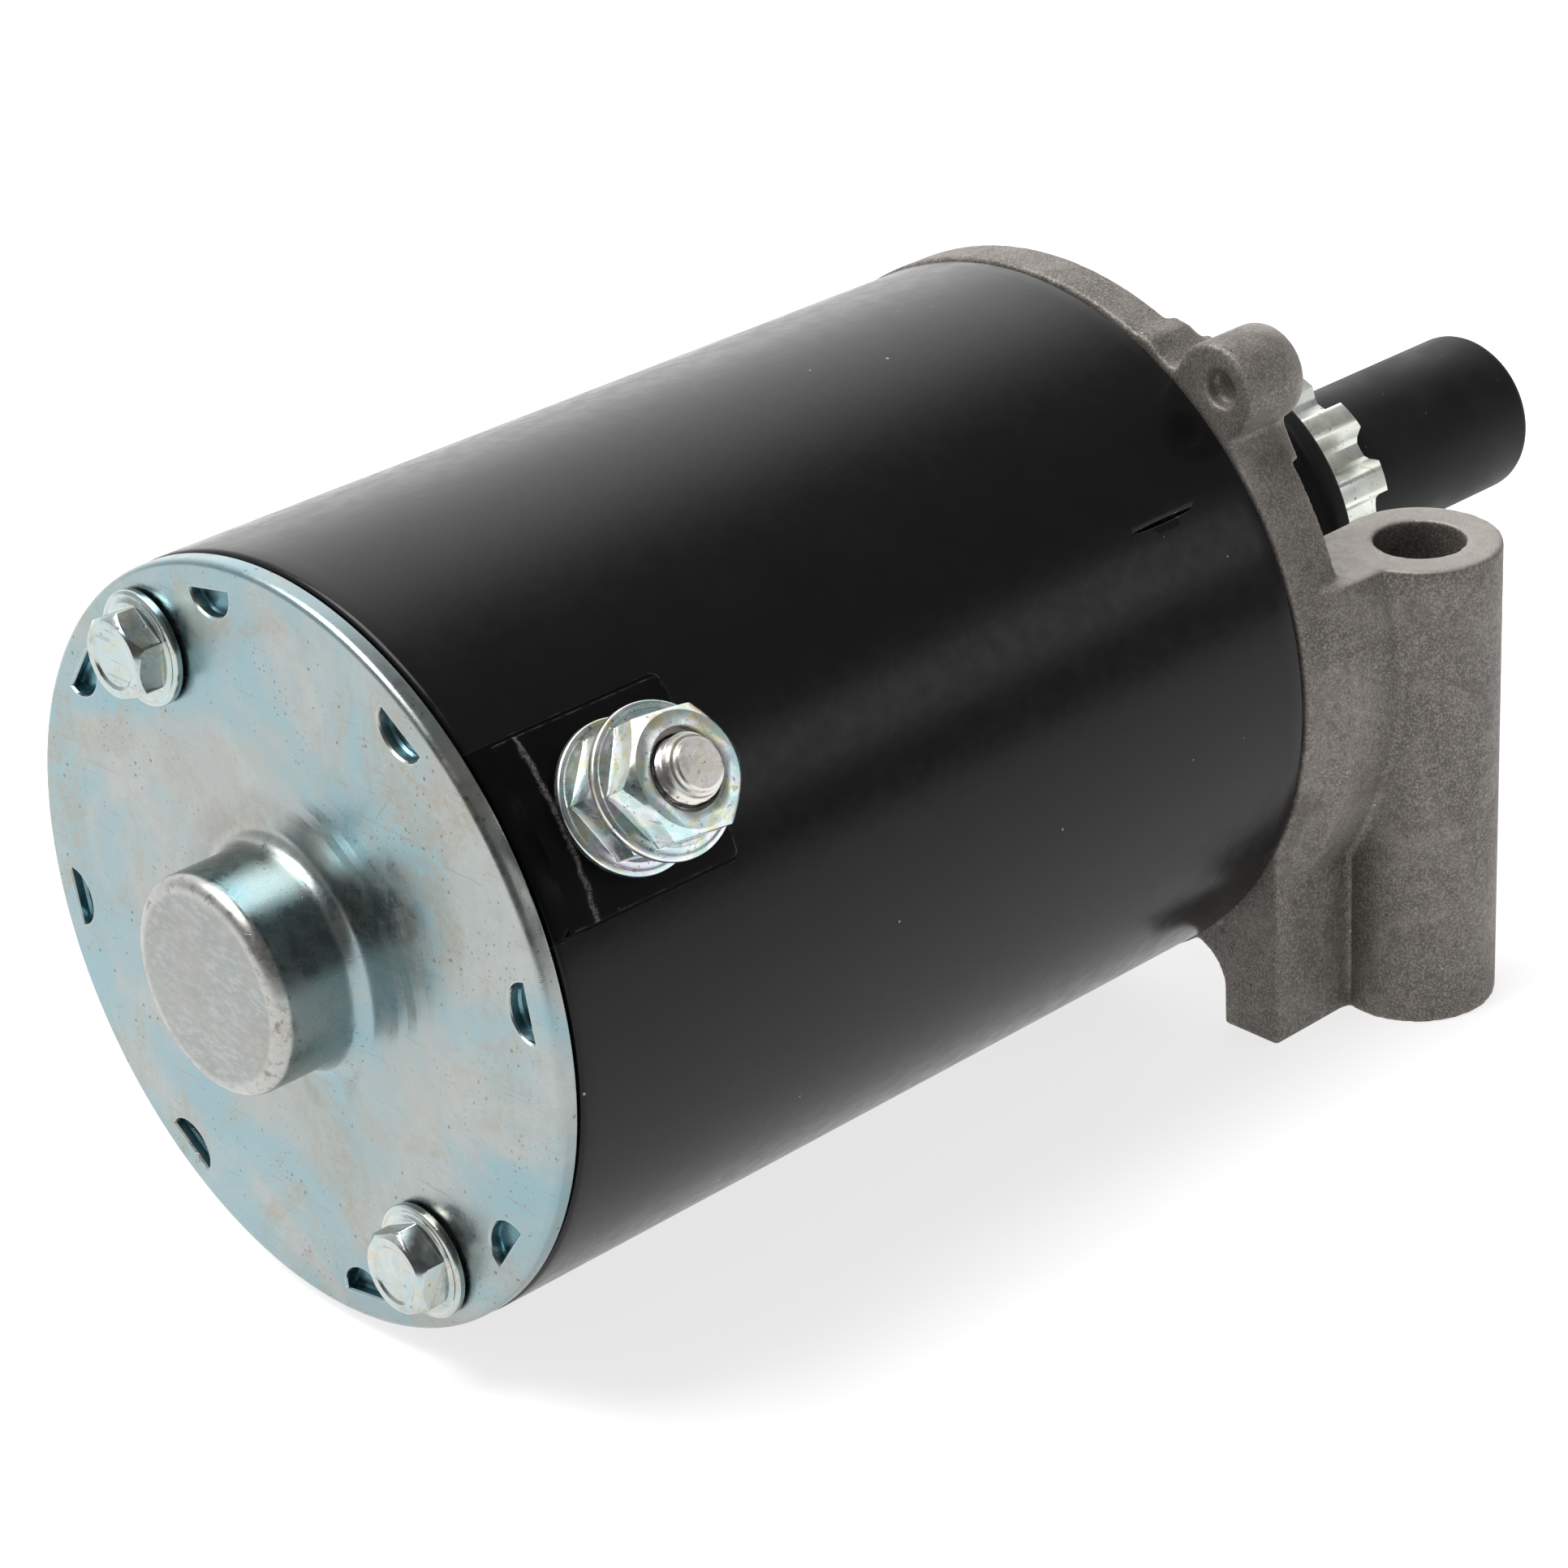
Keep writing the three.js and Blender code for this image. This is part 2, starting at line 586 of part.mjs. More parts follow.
// Concave corner between a leg's inner face and the ring above it.
function legFillet(side) {
  const centreY = side * (LEG_INNER_Y - LEG_FILLET_R);
  const faceY = side * (LEG_INNER_Y + 0.5);
  const corner = block(
    RING_START, RING_END, Math.min(centreY, faceY), Math.max(centreY, faceY), LEG_FILLET_Z, LEG_FILLET_Z + 7,
  );
  return cut(corner, [rodX(RING_START - 1, RING_END + 1, LEG_FILLET_R, centreY, LEG_FILLET_Z, 32)]);
}

// The ear, its neck and the part of the ring below it that is thicker along X.
function ear() {
  const barrel = turned([
    [RING_START, 0], [RING_START, EAR_R], [EAR_END - 1.2, EAR_R], [EAR_END, EAR_R - 1.2], [EAR_END, 0],
  ], 32).translate(0, EAR_Y, EAR_Z);
  const neck = arcX(RING_START, EAR_END - 0.6, 35.0, 39.6, 51.0, 9.5, 6);
  const root = arcX(
    RING_START, THICK_RING_END, 34.0, RING_R - 0.1, THICK_RING_CENTRE, THICK_RING_HALF_ARC, 12,
  );
  return union([barrel, neck, root]);
}

function driveEndCap() {
  const plate = turned([
    [PILOT_START, PILOT_INNER_R], [PILOT_START, MAGNET_R], [RING_START, MAGNET_R],
    [RING_START, RING_R], [RING_END - 0.8, RING_R], [RING_END, RING_R - 0.8],
    [RING_END, HUB_R + 5], [RING_END + 3.5, HUB_R + 1.2], [HUB_END - 1, HUB_R - 0.6],
    [HUB_END, HUB_R - 1.6], [HUB_END, HUB_BORE_R], [RING_START - 2, HUB_BORE_R],
    [RING_START - 2, HUB_R - 1], [RING_START + 0.9, HUB_R + 0.5], [RING_START + 0.9, PILOT_INNER_R],
    [PILOT_START, PILOT_INNER_R],
  ], 48);
  const boltRods = (x0, x1, r, inset) => (
    BOLT_ANGLES.map((a) => rodX(x0, x1, r, ...polar(BOLT_CIRCLE_R - inset, a), 24))
  );
  const boltBosses = boltRods(BOLT_BOSS_START, RING_START + 2, BOLT_BOSS_R, 1.2);
  const sides = [-1, 1].flatMap((side) => [bossSide(side), legFillet(side)]);
  const boltHoles = boltRods(BOLT_BOSS_START - 2, BOLT_TIP + 0.9, BOLT_R + GAP, 0);
  const bores = [-1, 1].map((side) => (
    rodZ(BOSS_BOTTOM - 1, BOSS_TOP + 1, BOSS_BORE_R, BOSS_X, side * BOSS_Y, 28)
  ));
  const dimple = rodX(RING_START - 1, RING_START + 1.6, 1.9, EAR_Y - 0.9, EAR_Z + 0.5, 20);
  return cut(union([plate, ...boltBosses, ...sides, ear()]), [...boltHoles, ...bores, dimple]);
}

add('drive_end_cap', driveEndCap(), castAluminium);
add('front_bush', sleeve(RING_START + 1, HUB_END - 0.4, JOURNAL_R + GAP, HUB_BORE_R - GAP), bronze);
add('front_thrust_washer', sleeve(94.2, 95.6, JOURNAL_R + GAP, 9.5), phenolic);

// ---------------------------------------------------------------- inertia drive

// Rotates each vertex about X in proportion to x, which turns straight splines into a helix.
function twist(geometry, lead, x0) {
  const p = geometry.attributes.position;
  for (let i = 0; i < p.count; i++) {
    const a = (2 * Math.PI * (p.getX(i) - x0)) / lead;
    const [y, z] = [p.getY(i), p.getZ(i)];
    p.setXYZ(i, p.getX(i), y * Math.cos(a) - z * Math.sin(a), y * Math.sin(a) + z * Math.cos(a));
  }
  return geometry;
}

// Sleeve fixed to the shaft: a collar and a multi-start external helix.
function driveSleeve() {
  const outline = [];
  for (let k = 0; k < HELIX_STARTS; k++) {
    const a = (360 / HELIX_STARTS) * k;
    outline.push(polar(5.4, a - 24), polar(SLEEVE_R, a - 14), polar(SLEEVE_R, a + 14), polar(5.4, a + 24));
  }
  const shape = new THREE.Shape(outline.map(([y, z]) => new THREE.Vector2(y, z)));
  const length = SLEEVE_END - SLEEVE_START;
  const splines = new THREE.ExtrudeGeometry(shape, { depth: length, steps: 9, bevelEnabled: false });
  splines.rotateY(Math.PI / 2).rotateX(Math.PI / 2).translate(SLEEVE_START, 0, 0);
  const collar = turned([
    [SLEEVE_START, 0], [SLEEVE_START, 7.8], [PINION_HUB_START - 0.6, 7.8], [PINION_HUB_START - 0.6, 0],
  ], 32);
  const body = union([twist(weld(splines), HELIX_LEAD, SLEEVE_START), collar]);
  return cut(body, [rodX(SLEEVE_START - 1, SLEEVE_END + 1, DRIVE_SHAFT_R + GAP, 0, 0, 32)]);
}

// Ten stub teeth with rounded tips and flanks that lean in, chamfered at the outer end.
function pinion() {
  const outline = [];
  for (let k = 0; k < PINION_TEETH; k++) {
    const a = (360 / PINION_TEETH) * k + 20.5;
    outline.push(
      polar(PINION_ROOT_R, a - 12.5), polar(PINION_ROOT_R + 1.1, a - 9.6), polar(PINION_TIP_R - 0.7, a - 6.6),
      polar(PINION_TIP_R, a - 4.9), polar(PINION_TIP_R, a + 4.9), polar(PINION_TIP_R - 0.7, a + 6.6),
      polar(PINION_ROOT_R + 1.1, a + 9.6), polar(PINION_ROOT_R, a + 12.5),
    );
  }
  const teeth = common(prismX(outline, PINION_START, PINION_END), turned([
    [PINION_START, 0], [PINION_START, PINION_TIP_R + 0.2], [PINION_END - 1.6, PINION_TIP_R + 0.2],
    [PINION_END, PINION_TIP_R - 1.3], [PINION_END, 0],
  ], 60));
  const hub = rodX(PINION_HUB_START, PINION_START + 1, PINION_HUB_R, 0, 0, 40);
  const bore = rodX(PINION_HUB_START - 1, PINION_END + 1, PINION_BORE_R, 0, 0, 40);
  return cut(union([teeth, hub]), [bore]);
}

function dustDisc() {
  const inner = PINION_HUB_R + GAP;
  return turned([
    [DISC_START, inner], [DISC_START, DISC_R - 0.7], [DISC_START + 0.7, DISC_R], [DISC_END - 0.7, DISC_R],
    [DISC_END, DISC_R - 0.7], [DISC_END, inner], [DISC_START, inner],
  ], 36);
}

function dustCap() {
  const inner = CAP_R - CAP_WALL;
  return turned([
    [CAP_START, inner], [CAP_START, CAP_R], [CAP_END - 1.2, CAP_R], [CAP_END - 0.35, CAP_R - 0.4],
    [CAP_END, CAP_R - 1.2], [CAP_END, 0], [CAP_END - CAP_WALL, 0], [CAP_END - CAP_WALL, inner],
    [CAP_START, inner],
  ], 32);
}

function stopNut(x0, x1) {
  return cut(prismX(hexagon(13.0), x0, x1), [rodX(x0 - 1, x1 + 1, DRIVE_SHAFT_R + GAP, 0, 0, 32)]);
}

const SPRING_SEAT = 143.9;
const STOP_START = 162.7;

add('drive_thrust_washer', sleeve(HUB_END + GAP, HUB_END + 1.2, JOURNAL_R + GAP, 9.5), brightSteel);
add('drive_sleeve', driveSleeve(), brightSteel);
add('dust_disc', dustDisc(), blackPlastic);
add('pinion', pinion(), brightSteel);
add(
  'dust_cap_spacer',
  sleeve(CAP_START, SPRING_SEAT - GAP, SLEEVE_R + GAP, CAP_R - CAP_WALL - GAP),
  blackPlastic,
);
add('anti_drift_spring', coil(SPRING_SEAT + 0.6, STOP_START - GAP - 0.6, 7.1, 0.5, 6, 10, 5), springSteel);
add('stop_spacer', sleeve(STOP_START, STOP_START + 1.5, DRIVE_SHAFT_R + GAP, 7.5), brightSteel);
add('stop_nut', stopNut(STOP_START + 1.8, STOP_START + 5.0), brightSteel);
add('dust_cap', dustCap(), blackPlastic);

// ---------------------------------------------------------------- placing

const bounds = new THREE.Box3().setFromObject(starter);
const centre = bounds.getCenter(new THREE.Vector3());
starter.position.set(-centre.x, -centre.y, -bounds.min.z);

export default starter;
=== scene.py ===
"""Looks of the starter motor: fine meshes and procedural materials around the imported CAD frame.

The shapes are written in the motor's own frame, in millimetres: X is the shaft axis with
x = 0 at the end plate's outer face, +X towards the drive, +Z up. Angles around the shaft
are in degrees from -Y towards +Z. MOTOR takes that frame to the row frame in metres.
"""

import math

import bmesh
import bpy
from mathutils import Matrix, Vector


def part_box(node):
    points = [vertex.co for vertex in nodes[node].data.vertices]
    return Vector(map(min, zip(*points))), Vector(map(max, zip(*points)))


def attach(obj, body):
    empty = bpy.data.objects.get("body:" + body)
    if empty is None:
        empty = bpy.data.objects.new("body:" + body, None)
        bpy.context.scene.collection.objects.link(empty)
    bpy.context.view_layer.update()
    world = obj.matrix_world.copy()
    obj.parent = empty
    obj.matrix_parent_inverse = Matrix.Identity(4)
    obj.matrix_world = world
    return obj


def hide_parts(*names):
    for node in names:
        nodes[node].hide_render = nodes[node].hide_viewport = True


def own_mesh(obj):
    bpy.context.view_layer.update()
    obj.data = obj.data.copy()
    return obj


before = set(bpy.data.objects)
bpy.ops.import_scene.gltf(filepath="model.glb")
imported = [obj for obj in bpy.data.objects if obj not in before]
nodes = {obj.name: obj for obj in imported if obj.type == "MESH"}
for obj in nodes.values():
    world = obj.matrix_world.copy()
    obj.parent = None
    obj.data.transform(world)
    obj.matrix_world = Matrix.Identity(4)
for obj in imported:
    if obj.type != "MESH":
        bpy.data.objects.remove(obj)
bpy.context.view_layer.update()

MM = 0.001
TUBE_START = 2.4
TUBE_END = 98.2

tube_low, tube_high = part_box("frame_tube")
MOTOR = Matrix.Translation((
    tube_low.x - TUBE_START * MM,
    (tube_low.y + tube_high.y) / 2,
    (tube_low.z + tube_high.z) / 2,
)) @ Matrix.Scale(MM, 4)

# ---------------------------------------------------------------- sizes, in millimetres

SEGMENTS = 192
PLATE_R = 38.0
PLATE_T = 2.1
CUP_R = 10.9
CUP_DEPTH = 9.5
CUP_INNER_R = 9.0
CUP_WALL = 1.9
PRESS_RINGS = ((14.6, 0.0), (15.9, -0.045), (17.2, 0.015), (18.6, -0.035), (20.4, 0.0))
NOTCH_ANGLES = [10.25 + 45 * k for k in range(8)]
NOTCH_R = 35.2
NOTCH_DEPTH = 1.3
NOTCH_WIDTH = 5.8
NOTCH_HEIGHT = 2.6
TUBE_R = 38.1
TUBE_INNER_R = 35.6
SLIT_X = (82.0, 90.5)
SLIT_ANGLE = 37.0
BOLT_ANGLES = [122.7, -57.3]
BOLT_CIRCLE_R = 31.0
BOLT_R = 2.4
BOLT_FLANGE_R = 5.7
BOLT_HEX_AF = 7.9
BOLT_HEX_TURN = 35
BOLT_HEAD_H = 3.9
BOLT_RECESS_R = 2.95
BOLT_TIP = 101.5
TERMINAL_ANGLE = 33.0
TERMINAL_X = 14.0
STUD_R = 3.15
STUD_TIP_R = 51.7
STUD_HEAD_BASE_R = 27.4
STUD_HEAD_H = 3.0
STUD_HEAD_AF = 8.66
NUT_AF = 11.1
NUT_FLANGE_R = 7.2
NUT_H = 4.7
NUTS = {"inner": (39.3, 41), "outer": (45.0, 36)}
INSULATOR_X = (2.6, 24.0)
INSULATOR_CREASE = 7.4
INSULATOR_BEVEL = (1.1, 1.1)
INSULATOR_COLLAR_R = 5.2
INSULATOR_HALF = 8.8
INSULATOR_INNER_R = 31.0
INSULATOR_OUTER_R = 38.4
GAP = 0.3

RING_START = 98.5
RING_END = 103.8
RING_R = 38.4
PILOT_START = 94.5
PILOT_R = 35.3
PILOT_INNER_R = 31.6
BOLT_BOSS_START = 92.0
BOLT_BOSS_R = 5.2
BOLT_BOSS_CIRCLE_R = BOLT_CIRCLE_R - 1.2
HUB_R = 13.0
HUB_END = 122.0
HUB_BORE_R = 8.3
BOSS_X = 118.0
BOSS_Y = 36.4
BOSS_R = 8.4
BOSS_BORE_R = 4.7
BOSS_TOP = 12.0
BOSS_BOTTOM = -39.6
LEG_Y = (26.9, 34.2)
LEG_FILLET_R = 5.0
LEG_FILLET_Z = -35.6
SHOULDER_R = 40.3
SHOULDER_START = 101.2
SHOULDER_BOTTOM = -24
EAR = (-26.1, 31.3)
EAR_R = 5.0
EAR_END = 107.1
EAR_NECK_ANGLES = (37.0, 61.0)
EAR_KNOB_ANGLES = (60.5, 66.0)
DIMPLE_R = 1.9
THICK_RING_END = 105.2
THICK_RING_ANGLES = (6.0, 64.0)

PINION_START = 130.0
PINION_END = 142.5
PINION_TEETH = 10
PINION_TIP_R = 13.4
PINION_ROOT_R = 10.3
PINION_BORE_R = 6.5
PINION_HUB_R = 8.4
PINION_HUB_START = 126.7
DISC_R = 18.6
DISC_X = (126.8, 129.4)
CAP_R = 9.1
CAP_WALL = 1.1
CAP_X = (142.8, 170.9)
SLEEVE_X = (123.6, 149.0)
SLEEVE_R = 6.2
HELIX_LEAD = 19.0
DRIVE_SHAFT_R = 4.3
SPRING_X = (143.9, 162.4)
SPRING_R = 7.1
SPRING_WIRE_R = 0.5
BRUSH_X = 10.4
BRUSH_SPRING_ENDS = (23.4, 28.4)
BRUSH_SPRING_R = 2.1
BRUSH_SPRING_WIRE_R = 0.4

CAMERA_PLACE = (-216.398, -308.916, 201.145)
CAMERA_AZIMUTH = -42.08
CAMERA_ELEVATION = 26.52
CAMERA_ROLL = -3.236
CAMERA_LENS = 105.85

# ---------------------------------------------------------------- mesh helpers


def polar(r, angle):
    """(y, z) at radius r and an angle around the shaft."""
    a = math.radians(angle)
    return -r * math.cos(a), r * math.sin(a)


def around_shaft(angle):
    """Turns something modelled on +Z to another angle around the shaft."""
    return Matrix.Rotation(math.radians(90 - angle), 4, "X")


def rounded(points, closed=False, steps=5):
    """A 2-D line whose corners (u, v, radius) are replaced by arcs of that radius."""
    out = []
    count = len(points)
    for i, point in enumerate(points):
        here = Vector(point[:2])
        radius = point[2] if len(point) > 2 else 0
        inner = closed or 0 < i < count - 1
        if not radius or not inner:
            out.append(tuple(here))
            continue
        before = Vector(points[i - 1][:2]) - here
        after = Vector(points[(i + 1) % count][:2]) - here
        half = before.angle(after) / 2
        reach = radius / math.tan(half)
        limit = 0.49 * min(before.length, after.length)
        if reach > limit:
            radius *= limit / reach
            reach = limit
        centre = here + (before.normalized() + after.normalized()).normalized() * (radius / math.sin(half))
        start = here + before.normalized() * reach - centre
        end = here + after.normalized() * reach - centre
        sweep = start.angle_signed(end)
        for k in range(steps + 1):
            a = -sweep * k / steps
            c, s = math.cos(a), math.sin(a)
            out.append((centre.x + start.x * c - start.y * s, centre.y + start.x * s + start.y * c))
    return out


def new_object(bm, name="part"):
    bmesh.ops.recalc_face_normals(bm, faces=bm.faces)
    mesh = bpy.data.meshes.new(name)
    bm.to_mesh(mesh)
    bm.free()
    obj = bpy.data.objects.new(name, mesh)
    bpy.context.scene.collection.objects.link(obj)
    return obj


def turned(profile, segments=SEGMENTS, closed=False, shape=None):
    """A body of revolution about X from (x, r) points. shape(x, r, angle) may change r."""
    bm = bmesh.new()
    rings = []
    for x, r in profile:
        if r < 1e-6:
            rings.append([bm.verts.new((x, 0, 0))])
            continue
        ring = []
        for i in range(segments):
            a = 2 * math.pi * i / segments
            radius = shape(x, r, a) if shape else r
            ring.append(bm.verts.new((x, radius * math.cos(a), radius * math.sin(a))))
        rings.append(ring)
    pairs = list(zip(rings, rings[1:]))
    if closed:
        pairs.append((rings[-1], rings[0]))
    for p, q in pairs:
        for i in range(segments):
            j = (i + 1) % segments
            corners = [p[i % len(p)], p[j % len(p)], q[j % len(q)], q[i % len(q)]]
            corners = list(dict.fromkeys(corners))
            if len(corners) > 2:
                bm.faces.new(corners)
    return new_object(bm)


def lofted(sections, twist=0.0):
    """Joins (x, outline of (y, z)) sections along X, with flat ends."""
    bm = bmesh.new()
    rings = []
    for x, outline in sections:
        a = twist * (x - sections[0][0])
        c, s = math.cos(a), math.sin(a)
        rings.append([bm.verts.new((x, y * c - z * s, y * s + z * c)) for y, z in outline])
    count = len(rings[0])
    for p, q in zip(rings, rings[1:]):
        for i in range(count):
            j = (i + 1) % count
            bm.faces.new((p[i], p[j], q[j], q[i]))
    bm.faces.new(rings[0])
    bm.faces.new(reversed(rings[-1]))
    return new_object(bm)


def prism(outline, x0, x1):
    return lofted([(x0, outline), (x1, outline)])


def rod(x0, x1, r, y=0.0, z=0.0, segments=64):
    ring = [2 * math.pi * i / segments for i in range(segments)]
    return prism([(y + r * math.cos(a), z + r * math.sin(a)) for a in ring], x0, x1)


def block(x, y, z):
    return prism([(y[0], z[0]), (y[1], z[0]), (y[1], z[1]), (y[0], z[1])], x[0], x[1])


def upright(obj, x, y):
    """Turns something modelled along X to stand along Z at (x, y)."""
    obj.data.transform(Matrix.Translation((x, y, 0)) @ Matrix.Rotation(math.radians(-90), 4, "Y"))
    return obj


def moved(obj, x=0.0, y=0.0, z=0.0):
    obj.data.transform(Matrix.Translation((x, y, z)))
    return obj


def bake(obj):
    """Puts an object's modifiers into its mesh."""
    bpy.context.view_layer.update()
    evaluated = obj.evaluated_get(bpy.context.evaluated_depsgraph_get())
    mesh = bpy.data.meshes.new_from_object(evaluated)
    old = obj.data
    obj.modifiers.clear()
    obj.data = mesh
    bpy.data.meshes.remove(old)
    return obj


def combine(obj, tools, operation):
    for tool in tools:
        step = obj.modifiers.new("boolean", "BOOLEAN")
        step.operation = operation
        step.solver = "MANIFOLD"
        step.object = tool
    bake(obj)
    for tool in tools:
        mesh = tool.data
        bpy.data.objects.remove(tool)
        bpy.data.meshes.remove(mesh)
    return obj


def union(obj, *tools):
    return combine(obj, tools, "UNION")


def cut(obj, *tools):
    return combine(obj, tools, "DIFFERENCE")


def common(obj, tool):
    return combine(obj, [tool], "INTERSECT")


def softened(obj, width, segments=2, angle=30):
    """Small rounds on every edge sharper than an angle."""
    step = obj.modifiers.new("bevel", "BEVEL")
    step.width = width
    step.segments = segments
    step.limit_method = "ANGLE"
    step.angle_limit = math.radians(angle)
    step.miter_outer = "MITER_ARC"
    return bake(obj)


def shade(mesh, angle=30):
    mesh.shade_smooth()
    mesh.set_sharp_from_angle(angle=math.radians(angle))


def hexagon(across_flats, turn=0.0):
    r = across_flats / math.sqrt(3)
    corners = [math.radians(60 * i + turn) for i in range(6)]
    return [(r * math.cos(a), r * math.sin(a)) for a in corners]


def thread(pitch, depth, start, end, fade=1.0):
    """A shape for turned(): a helical V thread cut into the radius between two x values."""

    def shape(x, r, a):
        if not start <= x <= end:
            return r
        phase = ((x - start) / pitch - a / (2 * math.pi)) % 1.0
        flank = min(1.0, max(0.0, 1.35 - abs(2 * phase - 1) * 1.7))
        edge = min(1.0, (x - start) / fade, (end - x) / (0.4 * fade) + 0.2)
        return r - depth * (1 - flank) * edge

    return shape


def steps_between(x0, x1, spacing):
    count = max(1, round((x1 - x0) / spacing))
    return [x0 + (x1 - x0) * i / count for i in range(count + 1)]


def coil(x0, x1, mean_r, wire_r, turns, flat_ends=0.75, sides=10, per_turn=28):
    """A round wire wound about X, with closed end turns."""
    bm = bmesh.new()
    closed_pitch = 2.1 * wire_r
    count = int(turns * per_turn)
    rings = []
    for i in range(count + 1):
        t = i / count
        a = 2 * math.pi * turns * t
        rise = (t * turns - flat_ends) / (turns - 2 * flat_ends)
        rise = min(1.0, max(0.0, rise))
        slack = closed_pitch * min(flat_ends, t * turns) / flat_ends * 0.5
        tail = closed_pitch * min(flat_ends, (1 - t) * turns) / flat_ends * 0.5
        x = x0 + wire_r + slack + (x1 - x0 - 2 * wire_r - closed_pitch) * rise + (0.5 * closed_pitch - tail)
        centre = Vector((x, mean_r * math.cos(a), mean_r * math.sin(a)))
        outward = Vector((0, math.cos(a), math.sin(a)))
        ring = []
        for k in range(sides):
            b = 2 * math.pi * k / sides
            around = outward * wire_r * math.cos(b) + Vector((wire_r * math.sin(b), 0, 0))
            ring.append(bm.verts.new(centre + around))
        rings.append(ring)
    for p, q in zip(rings, rings[1:]):
        for k in range(sides):
            j = (k + 1) % sides
            bm.faces.new((p[k], p[j], q[j], q[k]))
    bm.faces.new(rings[0])
    bm.faces.new(reversed(rings[-1]))
    return new_object(bm)


# ---------------------------------------------------------------- material helpers


class Look:
    """A node material built line by line around one Principled shader."""

    def __init__(self, name):
        self.material = bpy.data.materials.new(name)
        self.material.use_nodes = True
        self.tree = self.material.node_tree
        self.tree.nodes.clear()
        self.shader = self.node("ShaderNodeBsdfPrincipled")
        output = self.node("ShaderNodeOutputMaterial")
        self.tree.links.new(self.shader.outputs[0], output.inputs[0])
        self.place = self.node("ShaderNodeTexCoord").outputs["Object"]
        self.height = None

    def node(self, kind, inputs=None, **settings):
        made = self.tree.nodes.new(kind)
        for key, value in settings.items():
            setattr(made, key, value)
        for key, value in (inputs or {}).items():
            self.put(made.inputs[key], value)
        return made

    def put(self, socket, value):
        if isinstance(value, bpy.types.NodeSocket):
            self.tree.links.new(value, socket)
        elif isinstance(value, tuple) and len(value) == 3 and socket.type == "RGBA":
            socket.default_value = (*value, 1.0)
        else:
            socket.default_value = value

    def set(self, **values):
        for key, value in values.items():
            self.put(self.shader.inputs[key.replace("_", " ")], value)

    def math(self, operation, a, b=0.0):
        return self.node("ShaderNodeMath", {0: a, 1: b}, operation=operation).outputs[0]

    def stretched(self, scale, turn=(0, 0, 0)):
        """Object coordinates turned and scaled, for marks that run one way."""
        made = self.node("ShaderNodeMapping", {"Vector": self.place, "Scale": scale})
        made.inputs["Rotation"].default_value = [math.radians(v) for v in turn]
        return made.outputs[0]

    def noise(self, size, detail=4.0, rough=0.55, distort=0.0, place=None):
        """Noise whose features are about size millimetres across."""
        made = self.node("ShaderNodeTexNoise", {
            "Vector": place or self.place, "Scale": 1 / (size * MM), "Detail": detail,
            "Roughness": rough, "Distortion": distort,
        })
        return made.outputs[0]

    def cells(self, size, feature="F1", place=None):
        made = self.node("ShaderNodeTexVoronoi", {"Vector": place or self.place, "Scale": 1 / (size * MM)})
        made.feature = feature
        return made.outputs["Distance"]

    def ramp(self, value, low, high, out_low=0.0, out_high=1.0):
        made = self.node("ShaderNodeMapRange", {
            "Value": value, "From Min": low, "From Max": high, "To Min": out_low, "To Max": out_high,
        }, interpolation_type="SMOOTHSTEP")
        return made.outputs[0]

    def mix(self, share, a, b, blend="MIX"):
        made = self.node("ShaderNodeMix", {0: share, 6: a, 7: b}, data_type="RGBA", blend_type=blend)
        return made.outputs[2]

    def blend(self, share, a, b):
        """A number that goes from a to b."""
        made = self.node("ShaderNodeMix", {0: share, 2: a, 3: b}, data_type="FLOAT")
        return made.outputs[0]

    def motor_place(self):
        """Distance along the shaft from the end plate's face, radius from it and height, in millimetres."""
        origin = MOTOR.translation
        offset = self.node("ShaderNodeVectorMath", {0: self.place, 1: origin}, operation="SUBTRACT")
        scaled = self.node("ShaderNodeVectorMath", {0: offset.outputs[0], "Scale": 1 / MM}, operation="SCALE")
        parts = self.node("ShaderNodeSeparateXYZ", {0: scaled.outputs[0]}).outputs
        squares = [self.math("MULTIPLY", parts[k], parts[k]) for k in (1, 2)]
        return parts[0], self.math("SQRT", self.math("ADD", *squares)), parts[2]

    def edges(self, width, low=0.03, high=0.25):
        """1 along edges, from the difference between the rounded and the true normal."""
        bevel = self.node("ShaderNodeBevel", {"Radius": width * MM}, samples=6).outputs[0]
        true = self.node("ShaderNodeNewGeometry").outputs["Normal"]
        dot = self.node("ShaderNodeVectorMath", {0: bevel, 1: true}, operation="DOT_PRODUCT").outputs["Value"]
        return self.ramp(self.math("SUBTRACT", 1.0, dot), low, high)

    def raise_by(self, height, depth):
        """Adds a bump whose full height is depth millimetres."""
        scaled = self.math("MULTIPLY", height, depth)
        self.height = scaled if self.height is None else self.math("ADD", self.height, scaled)

    def done(self):
        if self.height is not None:
            bump = self.node("ShaderNodeBump", {"Height": self.height, "Strength": 1.0, "Distance": MM})
            self.set(Normal=bump.outputs[0])
        return self.material


